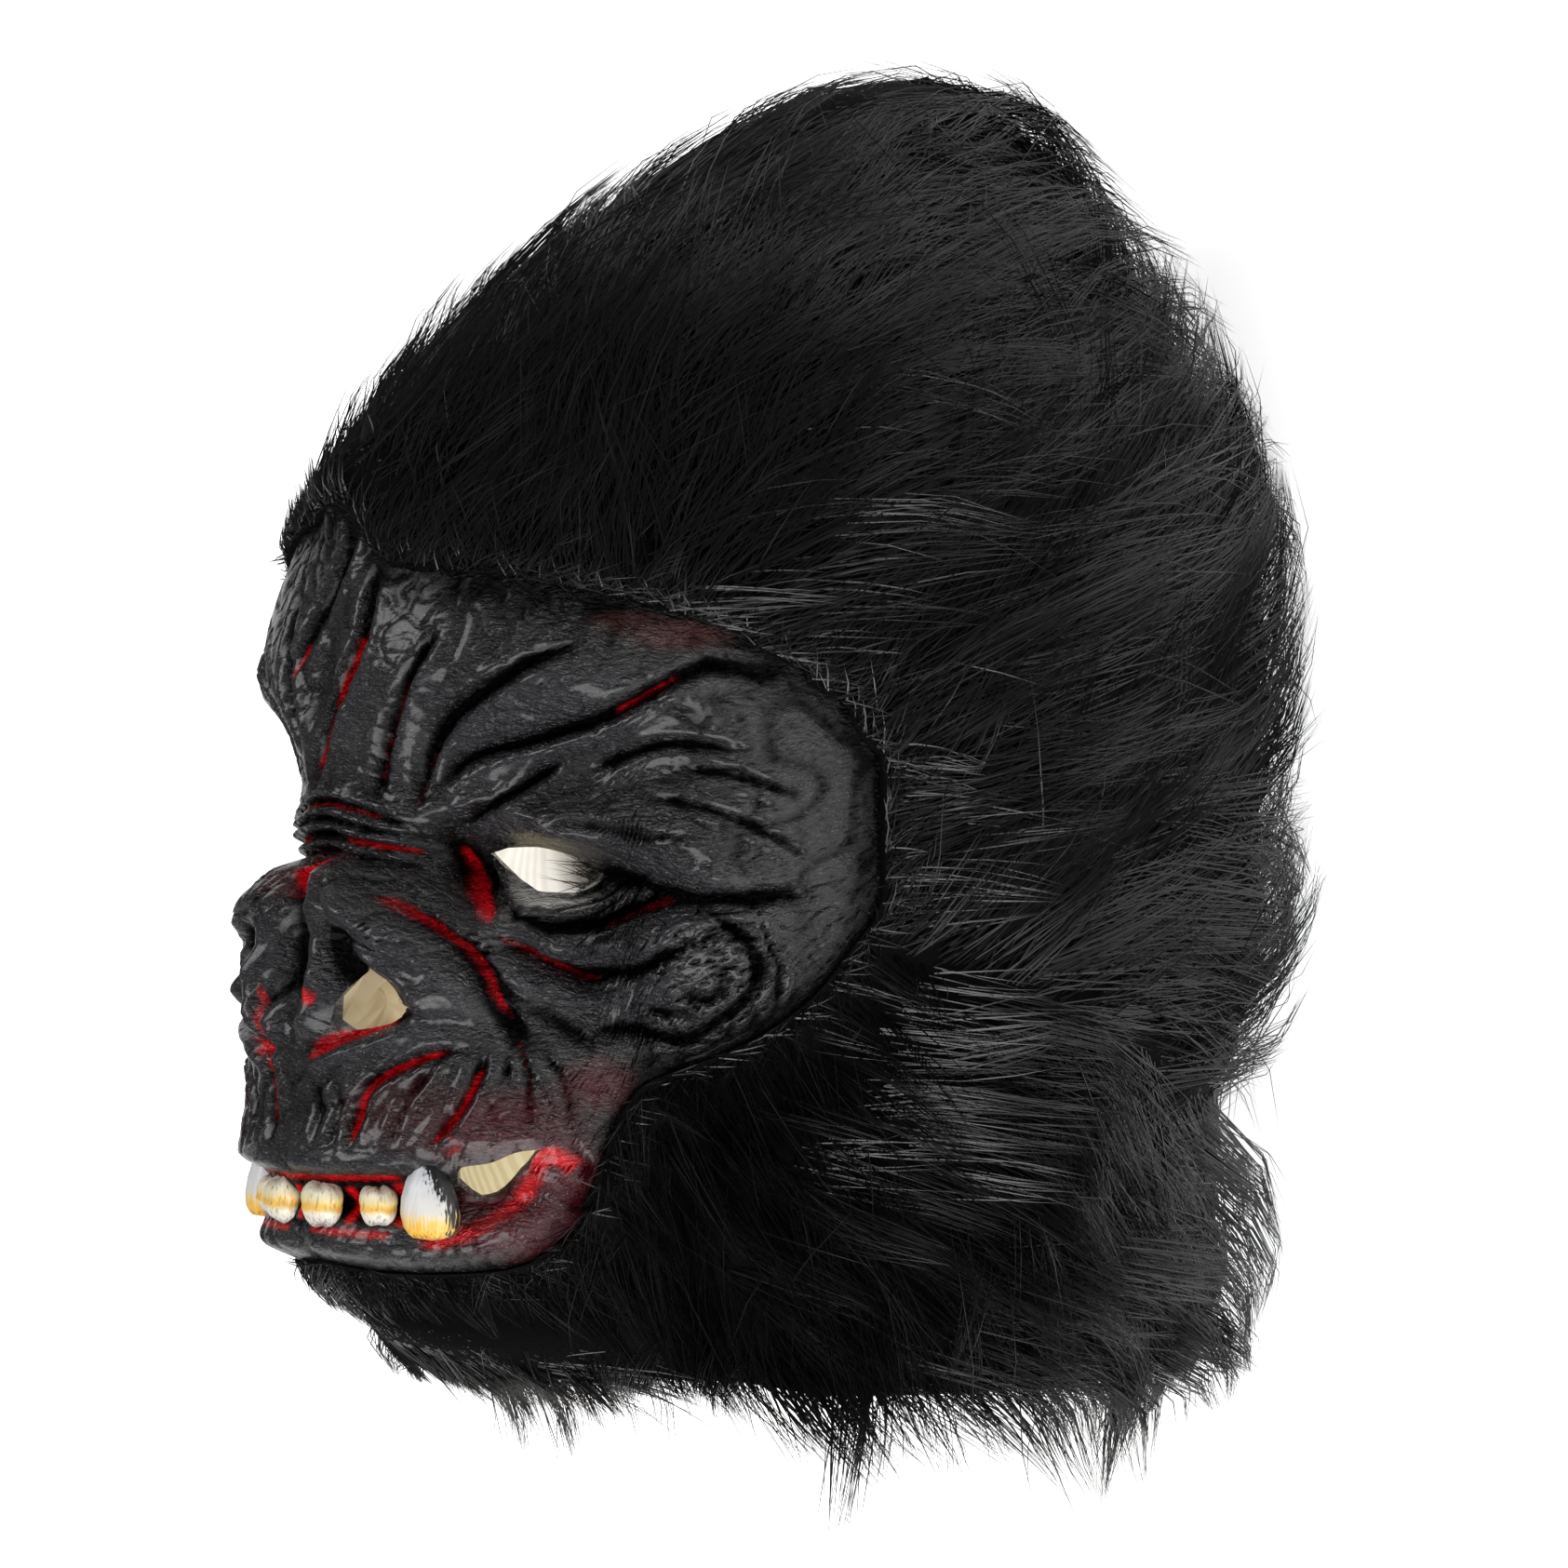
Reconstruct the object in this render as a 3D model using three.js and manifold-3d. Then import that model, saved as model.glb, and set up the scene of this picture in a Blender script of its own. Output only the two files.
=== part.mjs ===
// Full-head gorilla mask: a cast latex face glued into a hood of long-pile fur fabric.
// It lies on the back of its head. +X is the wearer's left, +Y the crown, +Z the way the face looks.
import * as THREE from 'three';
import { mergeVertices } from 'three/addons/utils/BufferGeometryUtils.js';
import Module from 'manifold-3d';

const wasm = await Module();
wasm.setup();

// Driving dimensions in millimetres. Depths are heights above the uncompressed pile of the back
const LATEX = 2.6; // wall of the casting
const FLANGE = 8; // width of latex that runs on under the fur
const PILE = 20; // fabric and laid pile together, where the hood is full
const CHIN_PILE = 9; // the same under the chin
const EDGE_PILE = 4.5; // the same beside the face, where the fibres start
const GAP = 0.3; // room between the two panels of fabric
const BED = 1.5; // glue between the fabric and the casting
const FLAT = 5; // pile pressed flat under the back of the head
const HEM = -166; // cut edge of the neck
const BELOW = -240; // where cuts that are open at the neck start
const CROWN = 205; // highest fibres of the crown
const MIDDLE = 8; // height of the box's middle
const AXIS = 215; // depth of the upright line that the face is measured around
const ARC = 1.65; // what a degree around that line spans on the face

// Hood by height: foremost, rearmost and half width of its upright stack of ellipses
const HOOD = stackForm(
  [[-190, 254], [-166, 264], [-120, 283], [-60, 303], [-20, 314], [30, 320], [60, 316], [72, 309],
    [86, 302], [107, 293], [118, 284], [141, 257], [158, 232], [175, 203], [189, 178], [197, 154], [204, 118]],
  [[-190, 48], [-166, 34], [-130, 20], [-100, 18], [-60, 6], [-20, 0], [60, 0], [86, 6], [107, 17],
    [118, 22], [141, 33], [158, 46], [175, 59], [189, 71], [197, 82], [204, 102]],
  [[-190, 99], [-166, 112], [-130, 117], [-100, 120], [-60, 123], [-20, 124], [30, 122], [60, 119],
    [86, 113], [107, 106], [118, 100], [141, 86], [158, 71], [175, 56], [189, 40], [197, 25], [204, 6]],
);
const CHIN = stackForm(
  [[-190, 254], [-166, 274], [-150, 296], [-138, 311], [-128, 316]],
  [[-190, 140], [-128, 180]],
  [[-190, 60], [-150, 64], [-128, 62]],
);

// Forms that the casting runs together, each the same kind of stack
const HEAD = stackForm(
  [[-140, 268], [-100, 281], [-60, 292], [-34, 308], [-22, 320], [-10, 323], [10, 324], [30, 323],
    [50, 319], [62, 315], [74, 311]],
  [[-140, 68], [-100, 81], [-60, 92], [-34, 103], [-22, 116], [-10, 122], [74, 111]],
  [[-140, 62], [-100, 70], [-80, 80], [-60, 91], [-40, 97], [-10, 98], [15, 97], [40, 92], [74, 84]],
);
const MUZZLE = stackForm(
  [[-140, 298], [-134, 312], [-128, 320], [-118, 326], [-106, 330], [-92, 333], [-77, 333], [-69, 332],
    [-60, 329], [-52, 320], [-40, 292]],
  [[-140, 170], [-118, 198], [-92, 205], [-60, 189], [-40, 157]],
  [[-140, 50], [-134, 54], [-126, 58], [-106, 63], [-92, 65], [-78, 64], [-69, 61], [-60, 56], [-40, 36]],
);
const NOSE = stackForm(
  [[-86, 300], [-78, 320], [-70, 332], [-58, 336], [-44, 334], [-33, 334], [-26, 332], [-20, 318]],
  [[-86, 216], [-58, 250], [-33, 250], [-20, 228]],
  [[-86, 28], [-78, 38], [-70, 46], [-60, 50], [-48, 47], [-34, 42], [-26, 38], [-20, 26]],
);

// Edge of the casting at the fur: angle from the middle in degrees, height
const EDGE_TOP = curve([[-92, 5], [-84, 18], [-72, 32], [-58, 44], [-40, 54], [-25, 61], [-12, 66], [2, 71],
  [5, 67], [8, 59], [12, 55], [25, 52], [40, 48], [58, 41], [72, 31], [84, 18], [92, 5]]);
const EDGE_LOW = curve([[0, -129], [14, -131], [28, -130], [36, -126], [41, -116], [45, -104], [49, -88],
  [53, -81], [62, -77], [72, -71], [82, -60], [92, -38]]);
const EDGE_ANGLE = 92;

// Mounds and hollows on those forms: angle and height, reach along and across, turn in degrees, rise
const MOUNDS = [
  { at: [24, -24], size: [28, 18], turn: 0, rise: -28 }, // eye socket, inner half
  { at: [44, -28], size: [36, 18], turn: -8, rise: -27 }, // eye socket, outer half
  { at: [27, 1], size: [46, 28], turn: 0, rise: -16 }, // hollow under the forehead
  { at: [49, 1], size: [36, 26], turn: 0, rise: -9 }, // flat of the temple
  { at: [18, 40], size: [24, 22], turn: 0, rise: 1 }, // forehead beside the middle
  { at: [55, 22], size: [44, 16], turn: -14, rise: 2 }, // roll above the temple
  { at: [64, -54], size: [30, 28], turn: 0, rise: 8 }, // cheek pouch
  { at: [19, -60], size: [24, 20], turn: 0, rise: 2.5 }, // wing of the nose
  { at: [11, -34], size: [22, 13], turn: 0, rise: 4 }, // top of the nose
  { at: [43, -56], size: [18, 18], turn: 0, rise: -5 }, // hollow beside the nose
  { at: [14, -58], size: [16, 13], turn: 30, rise: -9 }, // nostril
  { at: [0, -46], size: [12, 32], turn: 0, rise: -9 }, // groove between the nostrils
  { at: [0, 26], size: [9, 50], turn: 0, rise: -3 }, // parting of the forehead
  { at: [20, -127], size: [60, 11], turn: 0, rise: 2.5 }, // lower lip
  { at: [0, -115], size: [64, 19], turn: 0, rise: 3.2 }, // set of the jaw
  { at: [0, -98], size: [70, 11], turn: 0, rise: 1.5 }, // edge of the upper lip
  { at: [24, -111], size: [60, 8], turn: 0, rise: -6 }, // gum between the lips
];

// Openings through the casting, with the half sizes of their outlines. A point of 1 is an ellipse, more a lens
const OPENINGS = [
  { at: [32, -25], size: [18, 6], turn: -8, point: 1.4 }, // eye
  { at: [14, -57.5], size: [10, 8], turn: 35, point: 1 }, // nostril
  { at: [34, -104], size: [13, 5.5], turn: 14, point: 1.3 }, // gap at the mouth's corner
];

// Lower teeth, cast in one with the face
const TEETH = [{ angle: 4.7, y: -113, width: 15, height: 11 }, { angle: 13.2, y: -113.5, width: 12, height: 10 }];
const FANG = { angle: 23.5, foot: -121, radius: 7, height: 24 };

// Seam between the crown's fabric and the neck's, a plane that falls towards the back
const SEAM = { y: -47, z: 213, slope: 0.286 };

// Locks of the pile: growth in degrees above the level, size at the root, and how far a tip stands off
const LOCK = { crown: 38, neck: -52, length: 62, width: 40, thick: 17, lean: 7, tier: 44, pitch: 50 };

function curve(knots) { // smooth curve through (place, value) pairs, never past its own knots
  const slope = knots.map((knot, i) => {
    if (i === 0 || i === knots.length - 1) return 0;
    const before = (knot[1] - knots[i - 1][1]) / (knot[0] - knots[i - 1][0]);
    const after = (knots[i + 1][1] - knot[1]) / (knots[i + 1][0] - knot[0]);
    return before * after > 0 ? 2 * before * after / (before + after) : 0;
  });
  return (place) => {
    const x = THREE.MathUtils.clamp(place, knots[0][0], knots[knots.length - 1][0]);
    let i = 0;
    while (i < knots.length - 2 && x > knots[i + 1][0]) i += 1;
    const width = knots[i + 1][0] - knots[i][0];
    const t = (x - knots[i][0]) / width;
    return knots[i][1] * (1 + 2 * t) * (1 - t) ** 2 + slope[i] * width * t * (1 - t) ** 2
      + knots[i + 1][1] * t * t * (3 - 2 * t) + slope[i + 1] * width * t * t * (t - 1);
  };
}

function stackForm(front, back, half) { // ellipses one above the other, given by height
  const [foremost, rearmost] = [curve(front), curve(back)];
  return {
    half: curve(half),
    centre: (y) => (foremost(y) + rearmost(y)) / 2,
    depth: (y) => (foremost(y) - rearmost(y)) / 2,
  };
}

function radians(degrees) {
  return THREE.MathUtils.degToRad(degrees);
}

function smoothMax(a, b, blend) { // the larger of two, rounded where they come near each other
  const share = THREE.MathUtils.clamp(0.5 + 0.5 * (a - b) / blend, 0, 1);
  return b + (a - b) * share + blend * share * (1 - share);
}

function ring(degrees, y, form) { // from the face's axis out to a form at a height
  const centre = (form.centre(y) - AXIS) / form.depth(y);
  const across = Math.sin(radians(degrees)) / form.half(y);
  const along = Math.cos(radians(degrees)) / form.depth(y);
  const a = across ** 2 + along ** 2;
  const inside = (along * centre) ** 2 - a * (centre ** 2 - 1);
  return inside > 0 ? Math.max(0, (Math.sqrt(inside) + along * centre) / a) : 0;
}

function faceRadius(degrees, y) {
  let radius = smoothMax(ring(degrees, y, HEAD), ring(degrees, y, MUZZLE), 9);
  radius = smoothMax(radius, ring(degrees, y, NOSE), 4);
  for (const { at, size, turn, rise } of MOUNDS) {
    const [across, up] = [(Math.abs(degrees) - at[0]) * ARC, y - at[1]];
    const [c, s] = [Math.cos(radians(turn)), Math.sin(radians(turn))];
    const reach = ((across * c + up * s) / size[0]) ** 2 + ((up * c - across * s) / size[1]) ** 2;
    if (reach < 1) radius += rise * (1 - reach) ** 2;
  }
  return radius;
}

function onAxis(degrees, y, radius) {
  return [radius * Math.sin(radians(degrees)), y, AXIS + radius * Math.cos(radians(degrees))];
}

function toSolid(geometry) {
  const bare = geometry.clone();
  bare.deleteAttribute('normal');
  bare.deleteAttribute('uv');
  const { attributes, index } = mergeVertices(bare, 1e-4);
  return new wasm.Manifold(new wasm.Mesh({ numProp: 3,
    vertProperties: new Float32Array(attributes.position.array), triVerts: new Uint32Array(index.array) }));
}

function solidOf(points, faces) {
  const geometry = new THREE.BufferGeometry();
  geometry.setAttribute('position', new THREE.Float32BufferAttribute(points.flat(), 3));
  geometry.setIndex(faces.flat());
  return toSolid(geometry);
}

function block(centre, size, tilt = 0) {
  const geometry = new THREE.BoxGeometry(...size);
  geometry.translate(...centre);
  geometry.rotateX(tilt);
  return geometry;
}

// Grid of places on the face within the casting's edge grown by some millimetres: angle and height
function facePlaces({ columns, rows, grow }) {
  const steps = [-1, -0.7, 0, 0.7, 1];
  const places = [];
  for (let i = 0; i <= columns; i += 1) {
    const side = 2 * i / columns - 1;
    const degrees = (EDGE_ANGLE + grow / ARC) * side * (0.62 + 0.38 * side ** 2); // closer together in front
    const near = steps.map((step) => [degrees + step * grow / ARC, grow * Math.sqrt(1 - step ** 2)]);
    const low = Math.min(...near.map(([place, more]) => EDGE_LOW(Math.abs(place)) - more));
    const high = Math.max(...near.map(([place, more]) => EDGE_TOP(place) + more));
    for (let j = 0; j <= rows; j += 1) places.push([degrees, low + (high - low) * j / rows]);
  }
  return places;
}

// Block from near the axis out to a surface
function facePlug({ columns, rows, grow, foot, lift }) {
  const places = facePlaces({ columns, rows, grow });
  const points = places.map(([degrees, y]) => onAxis(degrees, y, faceRadius(degrees, y) + lift));
  points.push(...places.map(([degrees, y]) => onAxis(degrees, y, foot)));
  return solidOf(points, shellFaces(columns, rows));
}

function faceNormal(degrees, y) {
  const point = (i, j) => new THREE.Vector3(...onAxis(degrees + i, y + j, faceRadius(degrees + i, y + j)));
  return point(2, 0).sub(point(-2, 0)).cross(point(0, 3).sub(point(0, -3))).normalize();
}

function casting({ columns, rows, grow, wall }) { // the face's surface and its inside, the wall apart
  const places = facePlaces({ columns, rows, grow });
  const outer = places.map(([degrees, y]) => onAxis(degrees, y, faceRadius(degrees, y)));
  const inner = places.map(([degrees, y], i) => {
    return new THREE.Vector3(...outer[i]).addScaledVector(faceNormal(degrees, y), -wall).toArray();
  });
  return solidOf([...outer, ...inner], shellFaces(columns, rows));
}

function shellFaces(columns, rows) { // two like grids of points, outer and inner, joined around their edges
  const faces = [];
  const at = (i, j, layer) => (layer * (columns + 1) + i) * (rows + 1) + j;
  const quad = (a, b, c, d) => faces.push([a, b, c], [a, c, d]);
  for (let i = 0; i < columns; i += 1) {
    for (let j = 0; j < rows; j += 1) {
      quad(at(i, j, 0), at(i + 1, j, 0), at(i + 1, j + 1, 0), at(i, j + 1, 0));
      quad(at(i, j, 1), at(i, j + 1, 1), at(i + 1, j + 1, 1), at(i + 1, j, 1));
    }
    quad(at(i, 0, 1), at(i + 1, 0, 1), at(i + 1, 0, 0), at(i, 0, 0));
    quad(at(i, rows, 0), at(i + 1, rows, 0), at(i + 1, rows, 1), at(i, rows, 1));
  }
  for (let j = 0; j < rows; j += 1) {
    quad(at(0, j, 1), at(0, j, 0), at(0, j + 1, 0), at(0, j + 1, 1));
    quad(at(columns, j, 0), at(columns, j, 1), at(columns, j + 1, 1), at(columns, j + 1, 0));
  }
  return faces;
}

function throughCut({ at, size, turn, point }, side) { // radial block with the outline of an opening
  const count = 16;
  const outline = [];
  for (let i = 0; i < count; i += 1) {
    const t = 2 * Math.PI * i / count;
    const along = size[0] * Math.cos(t);
    const up = size[1] * Math.sign(Math.sin(t)) * Math.abs(Math.sin(t)) ** point;
    const [c, s] = [Math.cos(radians(turn)), Math.sin(radians(turn))];
    outline.push([side * (at[0] + (along * c - up * s) / ARC), at[1] + along * s + up * c]);
  }
  const points = [40, 150].flatMap((radius) => outline.map(([degrees, y]) => onAxis(degrees, y, radius)));
  const faces = [];
  for (let i = 0; i < count; i += 1) {
    const j = (i + 1) % count;
    faces.push([i, j, count + j], [i, count + j, count + i]);
    if (i > 0 && i < count - 1) faces.push([0, i + 1, i], [count, count + i, count + i + 1]);
  }
  return solidOf(points, side > 0 ? faces : faces.map(([a, b, c]) => [a, c, b]));
}

function onFace(geometry, degrees, y, lift) { // sets a shape's +Z outward on the face
  const [x, height, z] = onAxis(degrees, y, faceRadius(degrees, y) + lift);
  geometry.rotateY(radians(degrees));
  geometry.translate(x, height, z);
  return toSolid(geometry);
}

function tooth({ angle, y, width, height }, side) { // squat rounded crown
  const geometry = new THREE.SphereGeometry(1, 7, 4);
  geometry.scale(width / 2, height / 2, 5);
  return onFace(geometry, side * angle, y, 0.5);
}

function fang(side) { // tapers, and leans back a little towards its tip
  const profile = [[0, 0], [0.8, 0.02], [1, 0.25], [0.85, 0.55], [0.35, 0.9], [0, 1]];
  const points = profile.map(([r, h]) => new THREE.Vector2(r * FANG.radius, h * FANG.height));
  const geometry = new THREE.LatheGeometry(points, 7);
  geometry.rotateX(radians(-6));
  return onFace(geometry, side * FANG.angle, FANG.foot, 2);
}

function makeFace() {
  let face = casting({ columns: 30, rows: 22, grow: FLANGE, wall: LATEX });
  for (const side of [-1, 1]) {
    for (const opening of OPENINGS) face = face.subtract(throughCut(opening, side));
    for (const each of TEETH) face = face.add(tooth(each, side));
    face = face.add(fang(side));
  }
  return face;
}

function seamHeight(z) {
  return SEAM.y + (z - SEAM.z) * SEAM.slope;
}

function onStack(form, degrees, y, lift) {
  const angle = radians(degrees);
  return [(form.half(y) + lift) * Math.sin(angle), y, form.centre(y) + (form.depth(y) + lift) * Math.cos(angle)];
}

function outward(degrees, y) { // direction that faces away from the hood
  const [right, left] = [onStack(HOOD, degrees + 2, y, 0), onStack(HOOD, degrees - 2, y, 0)];
  const [above, below] = [onStack(HOOD, degrees, y + 3, 0), onStack(HOOD, degrees, y - 3, 0)];
  const across = new THREE.Vector3(...right).sub(new THREE.Vector3(...left));
  return across.cross(new THREE.Vector3(...above).sub(new THREE.Vector3(...below))).normalize();
}

// One lock: a flattened spike that leaves the pile along its growth and stands off at the tip
function lock(degrees, y, growth, length) {
  const side = Math.sign(degrees);
  const out = outward(degrees, y);
  const back = new THREE.Vector3(0, 1, 0).cross(out).normalize().multiplyScalar(side);
  const up = out.clone().cross(back).multiplyScalar(side).normalize();
  const along = back.multiplyScalar(Math.cos(radians(growth))).addScaledVector(up, Math.sin(radians(growth)));
  const tip = along.multiplyScalar(Math.cos(radians(LOCK.lean))).addScaledVector(out, Math.sin(radians(LOCK.lean)));
  const geometry = new THREE.ConeGeometry(LOCK.width / 2, length, 4);
  geometry.scale(1, 1, LOCK.thick / LOCK.width);
  geometry.translate(0, length / 2 - LOCK.width / 4, 0);
  const wide = tip.clone().cross(out).normalize();
  geometry.applyMatrix4(new THREE.Matrix4().makeBasis(wide, tip, wide.clone().cross(tip)));
  geometry.translate(...onStack(HOOD, degrees, y, -LOCK.thick / 4));
  return toSolid(geometry);
}

// Solid of a form between two heights, drawn in by the inset
function stack(form, { bottom, top, columns, rows, inset = 0 }) {
  const points = [[0, bottom, form.centre(bottom)]];
  for (let j = 0; j <= rows; j += 1) {
    const level = bottom + (top - bottom) * Math.sin(Math.PI / 2 * j / rows);
    for (let i = 0; i < columns; i += 1) {
      const degrees = 360 * (i + 0.5) / columns - 180;
      points.push(onStack(form, degrees, level, -inset));
    }
  }
  points.push([0, top, form.centre(top)]);
  const faces = [];
  const at = (i, j) => 1 + j * columns + i % columns;
  for (let i = 0; i < columns; i += 1) {
    faces.push([0, at(i + 1, 0), at(i, 0)], [points.length - 1, at(i, rows), at(i + 1, rows)]);
    for (let j = 0; j < rows; j += 1) {
      faces.push([at(i, j), at(i + 1, j), at(i + 1, j + 1)], [at(i, j), at(i + 1, j + 1), at(i, j + 1)]);
    }
  }
  return solidOf(points, faces);
}

function allLocks() { // tiers round the hood, each set half a lock on from the last
  const locks = [];
  for (let y = HEM + 6, tier = 0; y < CROWN - 30; y += LOCK.tier, tier += 1) {
    const around = Math.max(3, Math.round(2.4 * HOOD.half(y) / LOCK.pitch));
    for (let i = 0; i < around; i += 1) {
      const degrees = 180 * (i + 0.3 + 0.4 * (tier % 2)) / around;
      const z = onStack(HOOD, degrees, y, 0)[2];
      const neck = y < seamHeight(z);
      const atSeam = Math.abs(y - seamHeight(z)) < LOCK.width / 2;
      const inFace = z > 225 && y > -125 && y < 62;
      if (atSeam || inFace || z < LOCK.thick) continue;
      const length = LOCK.length * (0.85 + 0.3 * ((i * 7 + tier * 5) % 4) / 3) * (tier ? 1 : 0.66);
      for (const side of [-1, 1]) locks.push(lock(side * degrees, y, neck ? LOCK.neck : LOCK.crown, length));
    }
  }
  return locks;
}

function makeHood() {
  const collar = { columns: 22, rows: 8, grow: FLANGE + EDGE_PILE, foot: 60, lift: EDGE_PILE };
  const bed = { columns: 30, rows: 22, grow: FLANGE + BED, foot: 40, lift: BED };
  const window = { columns: 22, rows: 4, grow: 0, foot: 35, lift: 50 };
  let hood = stack(HOOD, { bottom: HEM, top: CROWN, columns: 28, rows: 13 })
    .add(stack(CHIN, { bottom: HEM, top: -128, columns: 20, rows: 3 }))
    .add(facePlug(collar));
  for (const each of allLocks()) hood = hood.add(each);
  return hood
    .subtract(stack(HOOD, { bottom: BELOW, top: CROWN - PILE, columns: 18, rows: 9, inset: PILE }))
    .subtract(stack(CHIN, { bottom: BELOW, top: -120, columns: 16, rows: 3, inset: CHIN_PILE }))
    .subtract(facePlug(bed))
    .subtract(facePlug(window))
    .subtract(toSolid(block([0, 0, FLAT - 100], [800, 800, 200])));
}

function panels(hood) { // the hood parted along its seam
  const tilt = Math.atan(SEAM.slope);
  const half = (side) => {
    const geometry = block([0, side * 300 + side * GAP / 2, 0], [800, 600, 1200], -tilt);
    geometry.translate(0, SEAM.y, SEAM.z);
    return toSolid(geometry);
  };
  return [hood.intersect(half(1)), hood.intersect(half(-1))];
}

function mesh(name, solid, colour, roughness) {
  const { vertProperties, triVerts } = solid.getMesh();
  const geometry = new THREE.BufferGeometry();
  geometry.setAttribute('position', new THREE.Float32BufferAttribute(vertProperties, 3));
  geometry.setIndex([...triVerts]);
  const material = new THREE.MeshStandardMaterial({ color: colour, roughness, metalness: 0, flatShading: true });
  const piece = new THREE.Mesh(geometry, material);
  piece.name = name;
  return piece;
}

const [crownPanel, neckPanel] = panels(makeHood());
const mask = new THREE.Group();
mask.add(
  mesh('latex_face', makeFace(), '#2f2c2e', 0.45),
  mesh('crown_fur', crownPanel, '#101011', 0.8),
  mesh('neck_fur', neckPanel, '#131314', 0.8),
);
mask.position.set(0, -MIDDLE, -FLAT);

export default mask;
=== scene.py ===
"""Full-head gorilla mask that lies on the back of its head: a painted latex casting in a hood of long black pile.

Sizes are in mm in the mask's own measuring frame: x to the wearer's left, y up the head, z the way the face looks.
A place on the face is an angle around an upright line behind it, in degrees, and a height. The tables hold places
and heights in turn.
"""

import functools
import math

import bpy
import numpy as np
from mathutils import Matrix


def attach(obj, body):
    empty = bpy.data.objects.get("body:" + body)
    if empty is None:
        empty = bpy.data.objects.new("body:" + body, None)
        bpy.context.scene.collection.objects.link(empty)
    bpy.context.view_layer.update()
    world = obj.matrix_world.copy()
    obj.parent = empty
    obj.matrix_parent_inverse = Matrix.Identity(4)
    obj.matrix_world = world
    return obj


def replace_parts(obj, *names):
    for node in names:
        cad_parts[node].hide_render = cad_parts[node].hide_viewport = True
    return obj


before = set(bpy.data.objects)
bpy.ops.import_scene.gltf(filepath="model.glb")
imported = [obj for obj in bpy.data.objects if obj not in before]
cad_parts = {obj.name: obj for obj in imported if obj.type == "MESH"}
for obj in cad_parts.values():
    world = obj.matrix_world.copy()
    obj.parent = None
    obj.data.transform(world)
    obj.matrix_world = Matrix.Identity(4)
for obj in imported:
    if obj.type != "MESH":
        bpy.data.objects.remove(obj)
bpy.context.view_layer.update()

# Driving sizes, as in the solids
LATEX = 2.6  # wall of the casting
FLANGE = 8  # latex that runs on under the fur
PILE = 20  # fabric and laid pile together
ROOTS = 17  # depth of the fibres' roots under the pile's surface
CHIN_PILE, CHIN_ROOTS = 9, 5.5  # the same under the chin
HEM = -166  # cut edge of the neck
CROWN = 204  # highest point of the hood
AXIS = 215  # depth of the upright line that the face is measured around
ARC = 1.65  # mm that a degree spans on the face
EDGE_ANGLE = 92  # where the casting ends at the side of the head
ROW_ORIGIN = np.array([0, 8, 5])  # the part's own origin in the measuring frame
SEAM_Y, SEAM_Z, SEAM_SLOPE = -47, 213, 0.286  # the seam's plane: height at a depth, and rise for each mm of depth
FUR_LOW, FUR_HIGH = (-144, -209, 0), (144, 220, 352)  # the farthest that any fibre reaches

# The photograph's view: its angle round the head's own upright, distance, middle and axes
VIEW_ANGLE, VIEW_DISTANCE, VIEW_TARGET = math.radians(51), 1500, np.array([0, -2.8, 165])
RIGHT_AXIS = np.array([math.cos(VIEW_ANGLE), 0, -math.sin(VIEW_ANGLE)])
UP_AXIS = np.array([0, 1, 0])
BACK_AXIS = np.array([math.sin(VIEW_ANGLE), 0, math.cos(VIEW_ANGLE)])


# ---- forms ----
def curve(knots):
    """Smooth function through knots, given as place and value in turn: a cubic between each two, with harmonic mean
    slopes, so it never passes its own knots."""
    place, value = np.array(knots, float).reshape(-1, 2).T
    rise = np.diff(value) / np.diff(place)
    slope = np.zeros(len(place))
    same = rise[:-1] * rise[1:] > 0
    slope[1:-1][same] = 2 * rise[:-1][same] * rise[1:][same] / (rise[:-1][same] + rise[1:][same])

    def at(x):
        x = np.clip(x, place[0], place[-1])
        i = np.clip(np.searchsorted(place, x) - 1, 0, len(place) - 2)
        width = place[i + 1] - place[i]
        t = (x - place[i]) / width
        return (value[i] * (1 + 2 * t) * (1 - t) ** 2 + slope[i] * width * t * (1 - t) ** 2
                + value[i + 1] * t * t * (3 - 2 * t) + slope[i + 1] * width * t * t * (t - 1))
    return at


class Stack:
    """Ellipses one above the other: foremost, rearmost and half width by height."""

    def __init__(self, front, back, half):
        self.front, self.back, self.half = curve(front), curve(back), curve(half)

    def centre(self, y):
        return (self.front(y) + self.back(y)) / 2

    def depth(self, y):
        return (self.front(y) - self.back(y)) / 2


HOOD = Stack(
    [-190, 254, -166, 264, -120, 283, -60, 303, -20, 314, 30, 320, 60, 316, 72, 309, 86, 302, 107, 293, 118, 284, 141,
     257, 158, 232, 175, 203, 189, 178, 197, 154, 204, 118],
    [-190, 48, -166, 34, -130, 20, -100, 18, -60, 6, -20, 0, 60, 0, 86, 6, 107, 17, 118, 22, 141, 33, 158, 46, 175,
     59, 189, 71, 197, 82, 204, 102],
    [-190, 99, -166, 112, -130, 117, -100, 120, -60, 123, -20, 124, 30, 122, 60, 119, 86, 113, 107, 106, 118, 100,
     141, 86, 158, 71, 175, 56, 189, 40, 197, 25, 204, 6])
CHIN = Stack(
    [-190, 254, -166, 274, -150, 296, -138, 311, -128, 316],
    [-190, 140, -128, 180],
    [-190, 60, -150, 64, -128, 62])
HEAD = Stack(
    [-140, 268, -100, 281, -60, 292, -34, 308, -22, 320, -10, 323, 10, 324, 30, 323, 50, 319, 62, 315, 74, 311],
    [-140, 68, -100, 81, -60, 92, -34, 103, -22, 116, -10, 122, 74, 111],
    [-140, 62, -100, 70, -80, 80, -60, 91, -40, 97, -10, 98, 15, 97, 40, 92, 74, 84])
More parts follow.
